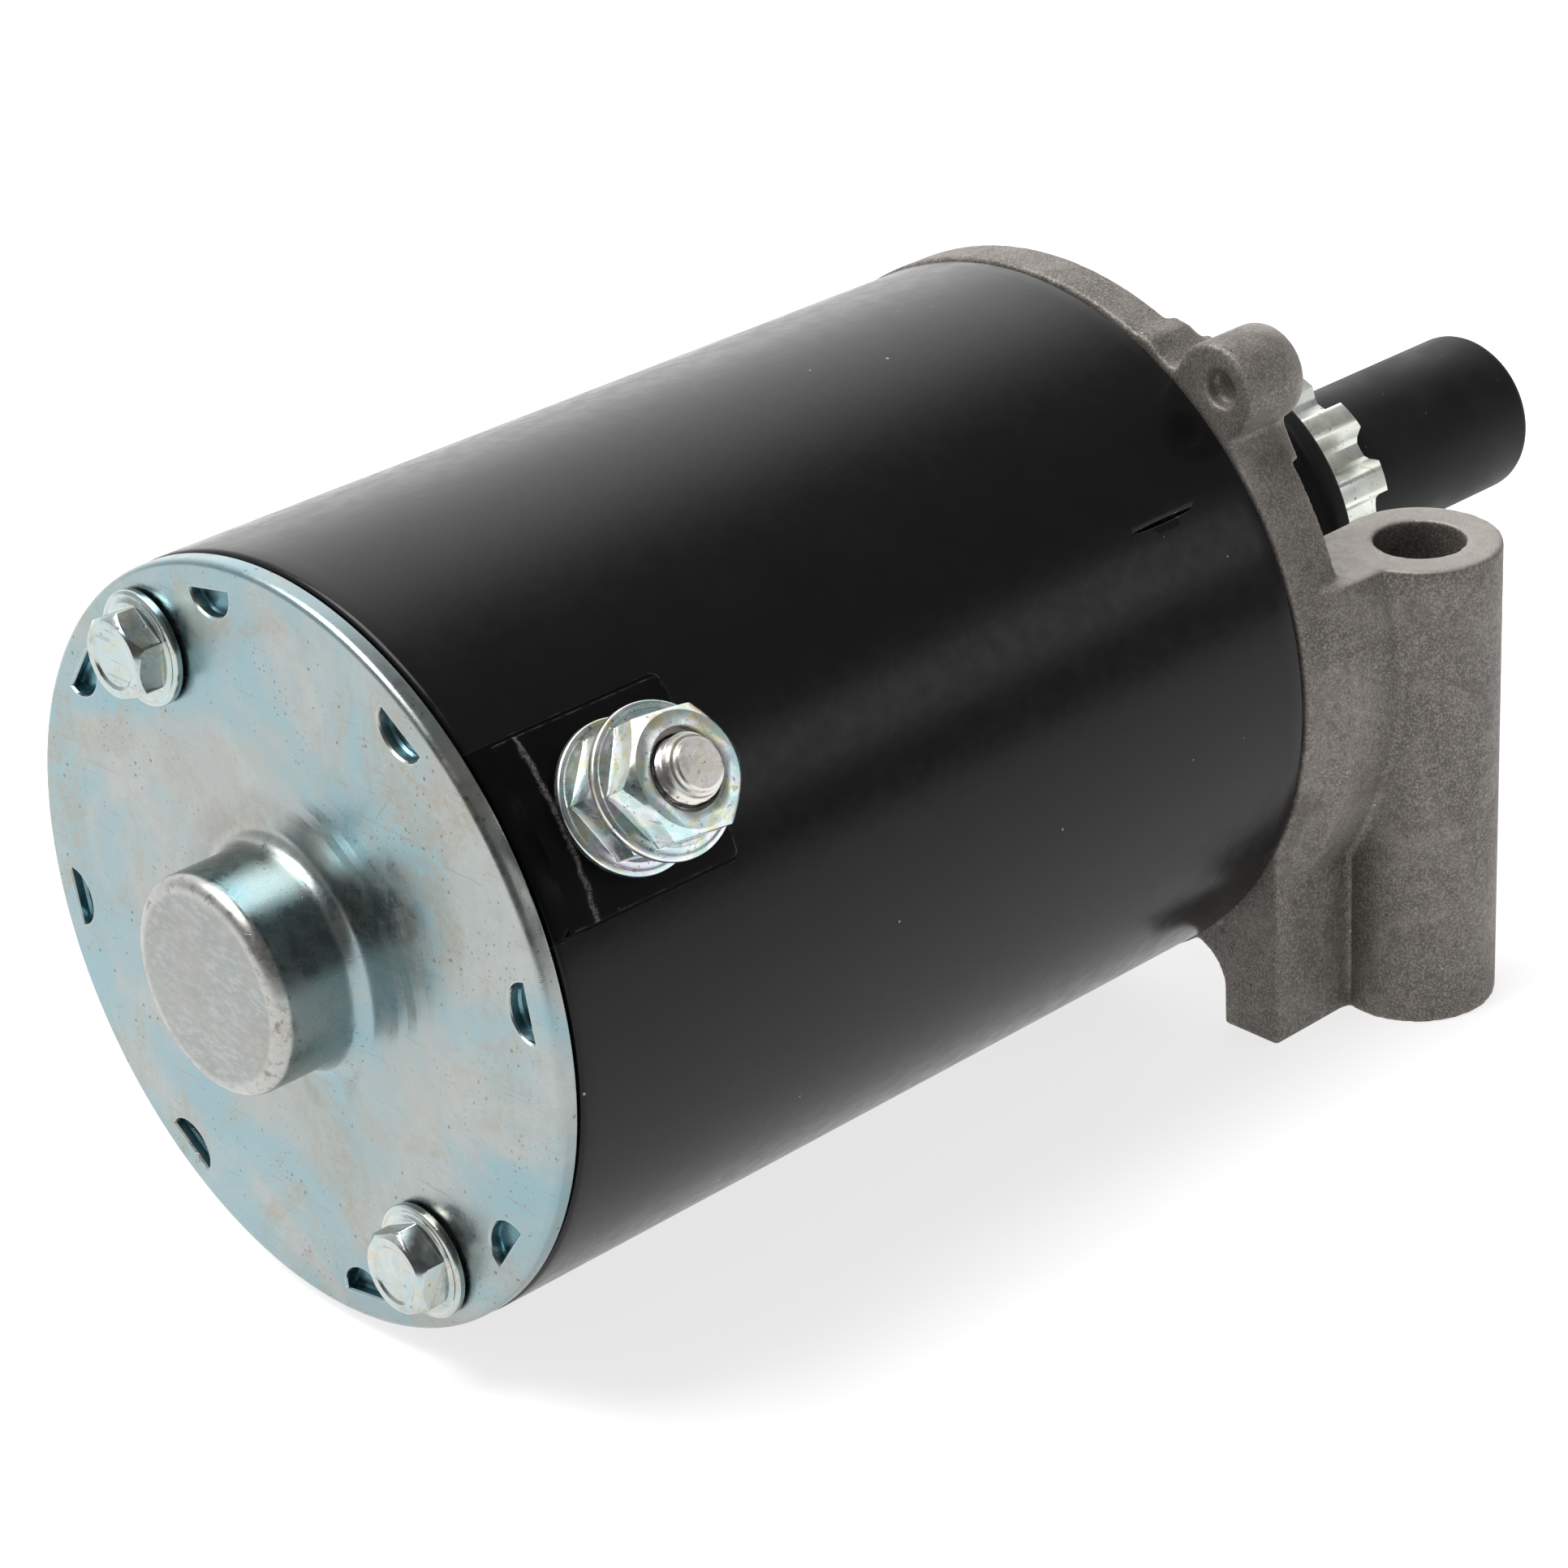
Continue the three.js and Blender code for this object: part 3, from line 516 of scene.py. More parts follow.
def zinc(name, metal_tone, tint, patch, tint_share, roughness, grime, films=(), on_plate=False):
    """Zinc plating: a thin blue passivate over bright metal, patches, specks and bare edges.

    films are stained patches given as (size in millimetres, share, colour).
    """
    look = Look(name)
    cloud = look.noise(24, detail=6, distort=1.4)
    mottle = look.noise(2.2, detail=6, rough=0.7)
    grain = look.noise(0.35, detail=3)
    base = look.mix(look.ramp(mottle, 0.3, 0.7), tuple(0.85 * c for c in metal_tone), metal_tone)
    blue = look.ramp(cloud, 0.36, 0.62)
    base = look.mix(look.math("MULTIPLY", blue, tint_share), base, tint)
    for size, share, colour in films:
        film = look.ramp(look.noise(size, detail=2, distort=1.6), 0.5, 0.6)
        base = look.mix(look.math("MULTIPLY", film, share), base, colour)
    brown = look.ramp(look.noise(15, detail=9, rough=0.75, distort=0.6), 0.49, 0.6)
    brown = look.math("MULTIPLY", brown, look.ramp(look.noise(0.7, detail=6, rough=0.75), 0.4, 0.6, 0.3, 1.0))
    base = look.mix(look.math("MULTIPLY", brown, grime), base, patch)
    for size, width, area in ((1.5, 0.17, 5.0), (0.8, 0.2, 9.0)):
        speck = look.ramp(look.cells(size), width, 0.4 * width)
        speck = look.math("MULTIPLY", speck, look.ramp(look.noise(area), 0.48, 0.58))
        base = look.mix(look.math("MULTIPLY", speck, 0.75), base, (0.10, 0.09, 0.08))
    marks = None
    for turn in ((14, 0, 0), (-38, 0, 0), (80, 0, 0)):
        lines = look.noise(1.0, detail=2, place=look.stretched((1, 0.11, 1.7), turn))
        line = look.ramp(lines, 0.69, 0.73)
        marks = line if marks is None else look.math("MAXIMUM", marks, line)
    base = look.mix(look.math("MULTIPLY", marks, 0.5), base, (0.26, 0.25, 0.23))
    bare = look.edges(0.5)
    bare = look.math("MULTIPLY", bare, look.ramp(look.noise(1.2, detail=5), 0.32, 0.55, 0.35, 1.0))
    base = look.mix(look.math("MULTIPLY", bare, 0.7), base, (0.74, 0.73, 0.70))
    rough = look.blend(look.ramp(mottle, 0.25, 0.75), *roughness)
    rough = look.math("ADD", rough, look.math("MULTIPLY", brown, 0.1))
    if on_plate:
        base, rough = plate_wear(look, base, rough)
    look.set(Base_Color=base, Metallic=1.0, Roughness=rough)
    look.raise_by(mottle, 0.010)
    look.raise_by(grain, 0.003)
    look.raise_by(marks, -0.006)
    return look.done()


def plate_wear(look, base, rough):
    """The end plate's rubbed cup face, stains on the cup's edge, painted shade in the notch pockets and a
    painted dark reflection round the cup.
    """
    along, out, _ = look.motor_place()
    ragged = look.math("MULTIPLY", look.noise(1.2, detail=6, rough=0.7), 1.6)
    side = look.math("MULTIPLY", look.ramp(along, -0.6, -2.0), look.ramp(look.noise(9, detail=3), 0.35, 0.6))
    base = look.mix(look.math("MULTIPLY", side, 0.55), base, (0.24, 0.30, 0.30))
    worn = look.ramp(look.math("ADD", along, ragged), -7.4, -8.2)
    scuff = look.ramp(look.noise(0.45, detail=5, place=look.stretched((1, 0.4, 1.0), (50, 0, 0))), 0.4, 0.7)
    grey = look.mix(scuff, (0.26, 0.275, 0.27), (0.345, 0.35, 0.34))
    grey = look.mix(look.ramp(look.noise(5, detail=6), 0.45, 0.6, 0.0, 0.5), grey, (0.30, 0.29, 0.26))
    base = look.mix(look.math("MULTIPLY", worn, 0.9), base, grey)
    rough = look.math("ADD", rough, look.math("MULTIPLY", worn, 0.1))
    lip = look.math("MULTIPLY", look.ramp(along, -7.9, -8.5), look.ramp(out, 9.0, 9.6))
    base = look.mix(look.math("MULTIPLY", lip, 0.6), base, (0.46, 0.45, 0.43))
    on_edge = look.math("MULTIPLY", look.ramp(along, -6.8, -8.2), look.ramp(out, 9.2, 9.8))
    stain = look.math("MULTIPLY", on_edge, look.ramp(look.noise(1.8, detail=8, rough=0.8), 0.5, 0.64))
    base = look.mix(look.math("MULTIPLY", stain, 0.7), base, (0.13, 0.10, 0.07))
    # Notch pockets: a deeper teal of the passivate, made darker as painted shade in the recesses.
    pocket = look.math("MULTIPLY", look.ramp(along, 0.25, 0.9), look.ramp(along, 1.9, 1.5))
    pocket = look.math("MULTIPLY", pocket, look.ramp(out, 36.9, 36.4))
    base = look.mix(look.math("MULTIPLY", pocket, 0.8), base, (0.09, 0.21, 0.25))
    # A darker ring and a grey smear round the cup's base: a painted dark reflection in the plate's face.
    ring = look.math("MULTIPLY", look.ramp(out, 12.0, 13.2), look.ramp(out, 16.6, 14.4))
    ring = look.math("MULTIPLY", ring, look.ramp(look.noise(6, detail=5), 0.42, 0.62))
    base = look.mix(look.math("MULTIPLY", ring, 0.5), base, (0.20, 0.19, 0.17))
    dark_reflection = look.math("MULTIPLY", look.ramp(out, 12.0, 15.0), look.ramp(out, 27.0, 19.0))
    dark_reflection = look.math("MULTIPLY", dark_reflection, look.ramp(look.noise(11, detail=5, distort=0.8), 0.4, 0.55))
    base = look.mix(look.math("MULTIPLY", dark_reflection, 0.5), base, (0.30, 0.31, 0.295))
    return base, rough


def enamel():
    """Semi-gloss black paint with orange peel, dust specks and worn edges."""
    look = Look("black_enamel_look")
    peel = look.noise(0.9, detail=3, rough=0.45)
    wide = look.noise(9, detail=3)
    base = look.mix(wide, (0.003, 0.003, 0.0035), (0.006, 0.0057, 0.006))
    dust = look.ramp(look.cells(5.5), 0.035, 0.015)
    base = look.mix(dust, base, (0.32, 0.32, 0.32))
    edge = look.edges(0.3, 0.04, 0.3)
    thin = look.math("MULTIPLY", edge, look.ramp(look.noise(1.1, detail=5), 0.3, 0.55, 0.4, 1.0))
    base = look.mix(look.math("MULTIPLY", thin, 0.6), base, (0.13, 0.128, 0.125))
    chips = look.math("MULTIPLY", edge, look.ramp(look.noise(1.6, detail=6), 0.58, 0.62))
    base = look.mix(chips, base, (0.42, 0.38, 0.33))
    rough = look.blend(look.ramp(look.noise(2.0, detail=4), 0.3, 0.7), 0.2, 0.27)
    rough = look.math("ADD", rough, look.math("MULTIPLY", chips, 0.25))
    look.set(Base_Color=base, Roughness=rough, Metallic=look.math("MULTIPLY", chips, 0.8))
    look.set(Specular_IOR_Level=0.2)
    look.raise_by(peel, 0.010)
    look.raise_by(look.noise(0.3, detail=2), 0.0015)
    look.raise_by(chips, -0.03)
    return look.done()


def plastic(name, dark, pale, roughness, grain_depth=0.006, scuff=0.25, specular=0.25, crease=None):
    """Moulded black plastic or rubber: fine grain, dust and pale rubbed edges."""
    look = Look(name)
    grain = look.noise(0.28, detail=4, rough=0.6)
    wide = look.noise(6, detail=4)
    base = look.mix(look.ramp(wide, 0.3, 0.7), dark, pale)
    rubbed = look.edges(0.45, 0.05, 0.3)
    rubbed = look.math("MULTIPLY", rubbed, look.ramp(look.noise(1.4, detail=6), 0.42, 0.6))
    base = look.mix(look.math("MULTIPLY", rubbed, scuff), base, (0.35, 0.34, 0.33))
    dust = look.ramp(look.cells(2.4), 0.05, 0.02)
    base = look.mix(look.math("MULTIPLY", dust, 0.3), base, (0.3, 0.29, 0.28))
    if crease is not None:
        along, _, _ = look.motor_place()
        wander = look.math("MULTIPLY", look.math("SUBTRACT", look.noise(1.5, detail=5), 0.5), 1.0)
        apart = look.math("ABSOLUTE", look.math("ADD", look.math("SUBTRACT", along, crease), wander))
        powder = look.ramp(look.noise(0.22, detail=5, rough=0.75), 0.36, 0.62)
        scraped = look.math("MULTIPLY", look.ramp(apart, 0.42, 0.02), powder)
        base = look.mix(look.math("MULTIPLY", scraped, 0.8), base, (0.16, 0.16, 0.155))
        # Painted light: the bevel at the insulator's plate end gets a pale grey so that it reads as lit.
        bevel_end = INSULATOR_X[0] + INSULATOR_BEVEL[0]
        painted_lit_bevel = look.ramp(along, bevel_end + 0.1, bevel_end - 0.1)
        base = look.mix(look.math("MULTIPLY", painted_lit_bevel, 0.9), base, (0.24, 0.24, 0.245))
    rough = look.blend(look.ramp(wide, 0.3, 0.7), roughness - 0.05, roughness + 0.06)
    look.set(Base_Color=base, Roughness=rough, Specular_IOR_Level=specular)
    look.raise_by(grain, grain_depth)
    look.raise_by(look.noise(2.5, detail=2), 0.01)
    return look.done()


def casting():
    """Tumbled die-cast aluminium: sandy warm grey, dark pores, polished edges."""
    look = Look("cast_aluminium_look")
    wide = look.noise(10, detail=6, distort=0.8)
    mottle = look.noise(0.95, detail=6, rough=0.72)
    grain = look.noise(0.24, detail=3, rough=0.6)
    base = look.mix(look.ramp(wide, 0.3, 0.7), (0.110, 0.099, 0.087), (0.198, 0.181, 0.162))
    base = look.mix(look.ramp(mottle, 0.38, 0.68, 0.0, 0.5), base, (0.085, 0.075, 0.064))
    base = look.mix(look.ramp(grain, 0.44, 0.64, 0.0, 0.55), base, (0.36, 0.335, 0.31))
    pore = look.math("MULTIPLY", look.ramp(look.cells(1.1), 0.16, 0.05), look.ramp(look.noise(3.5), 0.5, 0.6))
    base = look.mix(look.math("MULTIPLY", pore, 0.7), base, (0.06, 0.053, 0.047))
    shine = look.ramp(look.cells(1.7), 0.12, 0.04)
    shine = look.math("MULTIPLY", shine, look.ramp(look.noise(4.5), 0.5, 0.6))
    base = look.mix(look.math("MULTIPLY", shine, 0.6), base, (0.55, 0.53, 0.50))
    edge = look.math("MULTIPLY", look.edges(0.6, 0.03, 0.22), look.ramp(look.noise(1.8, detail=5), 0.35, 0.6))
    base = look.mix(look.math("MULTIPLY", edge, 0.5), base, (0.42, 0.40, 0.38))
    stain = look.ramp(look.noise(8, detail=7, rough=0.7, distort=1.0), 0.5, 0.66)
    base = look.mix(look.math("MULTIPLY", stain, 0.45), base, (0.080, 0.067, 0.055))
    along, out, height = look.motor_place()
    faced = look.math("MAXIMUM", look.ramp(height, BOSS_TOP - 0.3, BOSS_TOP - 0.1),
                      look.ramp(height, BOSS_BOTTOM + 0.3, BOSS_BOTTOM + 0.1))
    faced = look.math("MULTIPLY", faced, look.ramp(along, RING_END, RING_END + 3))
    faced = look.math("MULTIPLY", faced, look.ramp(out, LEG_Y[0], LEG_Y[0] + 1))
    base = look.mix(look.math("MULTIPLY", faced, 0.6), base, (0.36, 0.335, 0.305))
    rough = look.blend(look.ramp(mottle, 0.3, 0.7), 0.48, 0.64)
    rough = look.math("SUBTRACT", rough, look.math("MULTIPLY", edge, 0.12))
    look.set(Base_Color=base, Metallic=0.5, Roughness=rough)
    look.raise_by(mottle, 0.04)
    look.raise_by(grain, 0.035)
    look.raise_by(pore, -0.06)
    return look.done()


def metal(name, low, high, roughness, size=1.5, grain_depth=0.004, lines=None, dirt=0.25):
    """A machined, drawn or sintered metal; lines stretches its marks along an axis."""
    look = Look(name)
    place = look.stretched(lines) if lines else look.place
    streak = look.noise(size, detail=6, rough=0.65, place=place)
    wide = look.noise(7, detail=4)
    base = look.mix(look.ramp(streak, 0.3, 0.7), low, high)
    stain = look.ramp(wide, 0.52, 0.7)
    dirty = tuple(0.45 * c for c in low)
    base = look.mix(look.math("MULTIPLY", stain, dirt), base, dirty)
    edge = look.edges(0.3)
    base = look.mix(look.math("MULTIPLY", edge, 0.4), base, tuple(min(1.0, 1.15 * c) for c in high))
    rough = look.blend(streak, roughness - 0.08, roughness + 0.1)
    look.set(Base_Color=base, Metallic=1.0, Roughness=rough)
    look.raise_by(streak, grain_depth)
    look.raise_by(look.noise(0.3, detail=3), grain_depth * 0.6)
    return look.done()


def dull(name, low, high, roughness, size=1.0, grain_depth=0.01, metallic=0.0):
    """Ceramic, carbon or laminate: dry, grainy, paler at the edges."""
    look = Look(name)
    grain = look.noise(size, detail=6, rough=0.65)
    base = look.mix(look.ramp(grain, 0.3, 0.7), low, high)
    edge = look.edges(0.3)
    base = look.mix(look.math("MULTIPLY", edge, 0.35), base, tuple(min(1.0, 2.0 * c) for c in high))
    look.set(Base_Color=base, Metallic=metallic)
    look.set(Roughness=look.blend(grain, roughness - 0.08, roughness + 0.08))
    look.raise_by(grain, grain_depth)
    return look.done()


LOOKS = {
    "zinc_plate": zinc(
        "zinc_plate_look", metal_tone=(0.34, 0.362, 0.35), tint=(0.205, 0.328, 0.366),
        patch=(0.30, 0.28, 0.23), tint_share=0.85, roughness=(0.2, 0.34), grime=0.75, on_plate=True,
    ),
    "black_enamel": enamel(),
    "black_plastic": plastic(
        "black_plastic_look", (0.006, 0.006, 0.0063), (0.010, 0.010, 0.0105), roughness=0.5, specular=0.14,
    ),
    "cast_aluminium": casting(),
    "bright_steel": metal("bright_steel_look", (0.56, 0.56, 0.55), (0.78, 0.78, 0.76), 0.3),
    "spring_steel": metal("spring_steel_look", (0.30, 0.31, 0.33), (0.55, 0.57, 0.6), 0.32),
    "laminated_iron": metal("laminated_iron_look", (0.20, 0.20, 0.21), (0.40, 0.41, 0.42), 0.45,
                            0.5, 0.02, (1, 0.05, 0.05)),
    "ferrite": dull("ferrite_look", (0.02, 0.02, 0.022), (0.045, 0.045, 0.05), 0.6),
    "copper": metal("copper_look", (0.55, 0.24, 0.12), (0.82, 0.43, 0.25), 0.32),
    "carbon": dull("carbon_look", (0.035, 0.028, 0.024), (0.085, 0.06, 0.05), 0.6, 0.4, 0.01, 0.2),
    "bronze": metal("bronze_look", (0.40, 0.26, 0.13), (0.60, 0.42, 0.24), 0.5, 0.5, 0.02),
    "brass": metal("brass_look", (0.58, 0.43, 0.18), (0.80, 0.64, 0.34), 0.3),
    "phenolic": dull("phenolic_look", (0.12, 0.05, 0.025), (0.24, 0.12, 0.06), 0.55, 0.8),
}
NUT_LOOK = zinc(
    "zinc_nut_look", metal_tone=(0.82, 0.85, 0.84), tint=(0.50, 0.70, 0.73), patch=(0.55, 0.45, 0.24),
    tint_share=0.6, roughness=(0.2, 0.34), grime=0.4,
    films=((4.5, 0.55, (0.66, 0.58, 0.24)), (3.6, 0.45, (0.62, 0.54, 0.74)), (5.4, 0.5, (0.30, 0.58, 0.60))),
)
BOLT_LOOK = zinc(
    "zinc_bolt_look", metal_tone=(0.50, 0.52, 0.50), tint=(0.32, 0.44, 0.46), patch=(0.26, 0.20, 0.12),
    tint_share=0.5, roughness=(0.13, 0.27), grime=0.6,
    films=((4.0, 0.4, (0.46, 0.42, 0.28)), (5.0, 0.35, (0.30, 0.44, 0.48))),
)
STUD_LOOK = zinc(
    "zinc_stud_look", metal_tone=(0.70, 0.70, 0.69), tint=(0.62, 0.58, 0.50), patch=(0.36, 0.28, 0.18),
    tint_share=0.4, roughness=(0.2, 0.34), grime=0.5, films=((3.0, 0.3, (0.56, 0.46, 0.28)),),
)
PINION_LOOK = zinc(
    "zinc_pinion_look", metal_tone=(0.80, 0.82, 0.78), tint=(0.70, 0.78, 0.73), patch=(0.66, 0.64, 0.46),
    tint_share=0.4, roughness=(0.3, 0.45), grime=0.5,
)
RUBBER_LOOK = plastic(
    "disc_look", (0.005, 0.005, 0.0055), (0.008, 0.008, 0.0085), roughness=0.6, grain_depth=0.008, scuff=0.15,
    specular=0.16,
)
INSULATOR_LOOK = plastic(
    "insulator_look", (0.002, 0.002, 0.0022), (0.0035, 0.0035, 0.0037), roughness=0.5, scuff=0.8,
    specular=0.07, crease=INSULATOR_CREASE,
)


def piece(obj, name, body, slot, stands_for, look=None, place=None, angle=30):
    """Gives a finished shape its place, look and CAD body."""
    obj.name = name
    obj.data.name = name
    if place:
        obj.data.transform(place)
    obj.data.transform(MOTOR)
    obj.data.materials.clear()
    obj.data.materials.append(look or LOOKS[slot])
    shade(obj.data, angle)
    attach(obj, body)
    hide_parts(*stands_for)
    return obj


# ---------------------------------------------------------------- commutator end


def notch(grow):
    """Outline of a half-sheared tab on +Z: flat outside, round inside."""
    half = NOTCH_WIDTH / 2 + grow
    flat = NOTCH_R + grow
    depth = NOTCH_HEIGHT + 2 * grow
    points = [(-half, flat), (half, flat)]
    points += [(half * math.cos(a), flat - 0.25 - (depth - 0.25) * math.sin(a))
               for a in [math.pi * i / 16 for i in range(17)]]
    return points


def end_plate():
    face = [(0.0, CUP_R, 2.2)]
    for r, x in PRESS_RINGS:
        face.append((x, r, 2.0))
    profile = rounded([
        (-CUP_DEPTH, 0), (-CUP_DEPTH, CUP_R, 1.5), *face,
        (0, PLATE_R, 0.75), (PLATE_T, PLATE_R, 0.35),
        (PLATE_T, CUP_INNER_R, 1.0), (-CUP_DEPTH + CUP_WALL, CUP_INNER_R, 1.2), (-CUP_DEPTH + CUP_WALL, 0),
    ], steps=7)
    plate = turned(profile, 256)
    stubs, pockets = [], []
    for angle in NOTCH_ANGLES:
        stub = prism(notch(-0.35), PLATE_T - 0.4, PLATE_T + NOTCH_DEPTH)
        pocket = lofted([(-1.0, notch(0.16)), (0.0, notch(0.16)), (0.2, notch(0.0)),
                         (NOTCH_DEPTH - 0.25, notch(0.0)), (NOTCH_DEPTH, notch(-0.2))])
        for obj in (stub, pocket):
            obj.data.transform(around_shaft(angle))
        stubs.append(stub)
        pockets.append(pocket)
    holes = [rod(-1, PLATE_T + 1, BOLT_R + GAP, *polar(BOLT_CIRCLE_R, a)) for a in BOLT_ANGLES]
    union(plate, *stubs)
    return cut(plate, *pockets, *holes)


def hex_body(across_flats, turn, height, base, chamfer):
    """A hexagon on -X from base to height with its outer corners turned down."""
    corner = across_flats / math.sqrt(3)
    flat = across_flats / 2
    envelope = turned([
        (-height, 0), (-height, flat * 0.95), (-height + chamfer * 0.35, flat * 1.02),
        (-height + chamfer, corner * 1.01), (-base, corner * 1.01), (-base, 0),
    ], 96)
    return common(softened(prism(hexagon(across_flats, turn), -height, -base + 0.01), 0.14, 2), envelope)


def flange(radius, corner):
    """A hexagon's flange: a thin rim, a pressed ring and a slightly higher middle."""
    step = corner + 0.45 * (radius - corner)
    return turned(rounded([
        (0, 0), (0, radius, 0.2), (-0.75, radius, 0.25), (-0.93, step + 0.22, 0.1), (-0.86, step, 0.1),
        (-0.95, step - 0.22, 0.1), (-1.1, corner, 0.3), (-1.1, 0),
    ]), 128)


def thru_bolt(angle):
    top = BOLT_HEAD_H
    corner = BOLT_HEX_AF / math.sqrt(3)
    head = union(hex_body(BOLT_HEX_AF, BOLT_HEX_TURN, top, 0.8, 0.95), flange(BOLT_FLANGE_R, corner))
    recess = turned(rounded([
        (-top - 0.6, 0), (-top - 0.6, BOLT_RECESS_R + 0.1), (-top, BOLT_RECESS_R + 0.05, 0.1),
        (-top + 0.22, BOLT_RECESS_R - 0.3, 0.3), (-top + 0.25, 0),
    ]), 64)
    head = softened(cut(head, recess), 0.09)
    moved(head, -GAP)
    start, end = BOLT_TIP - 16, BOLT_TIP - 0.8
    profile = [(-1.2, 0), (-1.2, BOLT_R), (start - 0.5, BOLT_R)]
    profile += [(x, BOLT_R) for x in steps_between(start, end, 0.1)]
    profile += [(BOLT_TIP, BOLT_R - 0.75), (BOLT_TIP, 0)]
    shank = turned(profile, 40, shape=thread(0.8, 0.42, start, end))
    return moved(union(head, shank), 0, *polar(BOLT_CIRCLE_R, angle))


SWAP_X_Z = Matrix(((0, 0, 1, 0), (0, 1, 0, 0), (1, 0, 0, 0), (0, 0, 0, 1)))


def slit():
    """The lanced mark near the drive end: a thin wedge with its deep edge on one side."""
    sections = []
    for x in steps_between(*SLIT_X, 0.4):
        share = (x - SLIT_X[0]) / (SLIT_X[1] - SLIT_X[0])
        swell = math.sin(math.pi * share) ** 0.4 if 0 < share < 1 else 0.05
        sections.append((x, [
            (-0.30 * swell, TUBE_R + 0.5), (0.16 * swell, TUBE_R + 0.5), (0.16 * swell, TUBE_R - 0.25),
            (0.06 * swell, TUBE_R - 0.8 * swell), (-0.30 * swell, TUBE_R - 0.04),
        ]))
    wedge = lofted(sections)
    wedge.data.transform(around_shaft(SLIT_ANGLE))
    return wedge


def frame_tube():
    rings = [(x, TUBE_R) for x in steps_between(TUBE_START + 2, TUBE_END - 2, 1.0)]
    tube = turned(rounded([
        (TUBE_START, TUBE_INNER_R, 0.2), (TUBE_START, TUBE_R, 0.55), *rings, (TUBE_END, TUBE_R, 0.35),
        (TUBE_END, TUBE_INNER_R, 0.2),
    ], closed=True), 256, closed=True)
    half = INSULATOR_HALF + GAP
    outline = rounded([
        (-half, TUBE_START - 1), (half, TUBE_START - 1), (half, INSULATOR_X[1] + GAP, 0.8),
        (-half, INSULATOR_X[1] + GAP, 0.8),
    ], closed=True)
    slot = lofted([(20.0, outline), (TUBE_R + 5, outline)])
    slot.data.transform(around_shaft(TERMINAL_ANGLE) @ SWAP_X_Z)
    return softened(cut(tube, slot, slit()), 0.12, 2, 50)


def swap_x_z(obj):
    """Takes (x, y, z) to (z, y, x), for shapes drawn in plan and raised along Z."""
    obj.data.transform(SWAP_X_Z)
    obj.data.flip_normals()
    return obj


def insulator():
    x0, x1 = INSULATOR_X
    half = INSULATOR_HALF
    plan = rounded([
        (-half, x0, 2.4), (half, x0, 2.4), (half, x1, 0.6), (-half, x1, 0.6),
    ], closed=True, steps=10)
    body = swap_x_z(lofted([(INSULATOR_INNER_R, plan), (TUBE_R + 5, plan)]))
    low = INSULATOR_OUTER_R - 0.45
    length, drop = INSULATOR_BEVEL
    skin = turned([
        (x0 - 1, 0), (x0 - 1, low - 2 * drop), (x0, low - drop), (x0 + length, low),
        (INSULATOR_CREASE, INSULATOR_OUTER_R), (x1 + 1, INSULATOR_OUTER_R), (x1 + 1, 0),
    ], 512)
    collar = swap_x_z(rod(INSULATOR_INNER_R + 1, NUTS["inner"][0] - GAP, INSULATOR_COLLAR_R, 0, TERMINAL_X))
    hole = swap_x_z(rod(20, 50, STUD_R + GAP, 0, TERMINAL_X))
    return softened(cut(union(common(body, skin), collar), hole), 0.25, 3, 40)


def terminal_stud():
    tip = STUD_TIP_R - STUD_HEAD_BASE_R - STUD_HEAD_H
    start, end = 4.0, tip - 1.3
    profile = [(-0.5, 0), (-0.5, STUD_R), (start - 0.4, STUD_R)]
    profile += [(x, STUD_R) for x in steps_between(start, end, 0.12)]
    nose = ((1.1, 2.85), (0.62, 2.75), (0.5, 2.5), (0.15, 2.42), (0, 2.2), (0, 0))
    profile += [(tip - back, r) for back, r in nose]
    shank = turned(profile, 64, shape=thread(1.27, 0.5, start, end))
    head = softened(prism(hexagon(STUD_HEAD_AF), -STUD_HEAD_H, 0), 0.3)
    stud = union(head, shank)
    stud.data.transform(Matrix.Rotation(math.radians(-90), 4, "Y"))
    return moved(stud, TERMINAL_X, 0, STUD_HEAD_BASE_R + STUD_HEAD_H)


def flange_nut(base_r, turn):
    nut = union(hex_body(NUT_AF, turn, NUT_H, 0.8, 1.1), flange(NUT_FLANGE_R, NUT_AF / math.sqrt(3) - 0.4))
    bore = turned([
        (-NUT_H - 1, 0), (-NUT_H - 1, STUD_R + 1.1), (-NUT_H, STUD_R + 0.75), (-NUT_H + 0.55, STUD_R + 0.2),
        (0.4, STUD_R + 0.2), (1, STUD_R + 0.2), (1, 0),
    ], 64)
    nut = softened(cut(nut, bore), 0.1)
    nut.data.transform(Matrix.Rotation(math.radians(90), 4, "Y"))
    return moved(nut, TERMINAL_X, 0, base_r)


piece(end_plate(), "end_plate_fine", "housing", "zinc_plate", ["end_plate"])
for i, bolt_angle in enumerate(BOLT_ANGLES, 1):
    piece(thru_bolt(bolt_angle), f"thru_bolt_{i}_fine", "housing", "zinc_plate", [f"thru_bolt_{i}"],
          BOLT_LOOK)
piece(frame_tube(), "frame_tube_fine", "housing", "black_enamel", ["frame_tube"])
piece(insulator(), "terminal_insulator_fine", "housing", "black_plastic", ["terminal_insulator"],
      INSULATOR_LOOK, place=around_shaft(TERMINAL_ANGLE))
piece(terminal_stud(), "terminal_stud_fine", "housing", "bright_steel", ["terminal_stud"],
      STUD_LOOK, place=around_shaft(TERMINAL_ANGLE))
for label, (base_r, turn) in NUTS.items():
    piece(flange_nut(base_r, turn), f"terminal_nut_{label}_fine", "housing", "zinc_plate",
          [f"terminal_nut_{label}"], NUT_LOOK, place=around_shaft(TERMINAL_ANGLE))

# ---------------------------------------------------------------- drive end casting


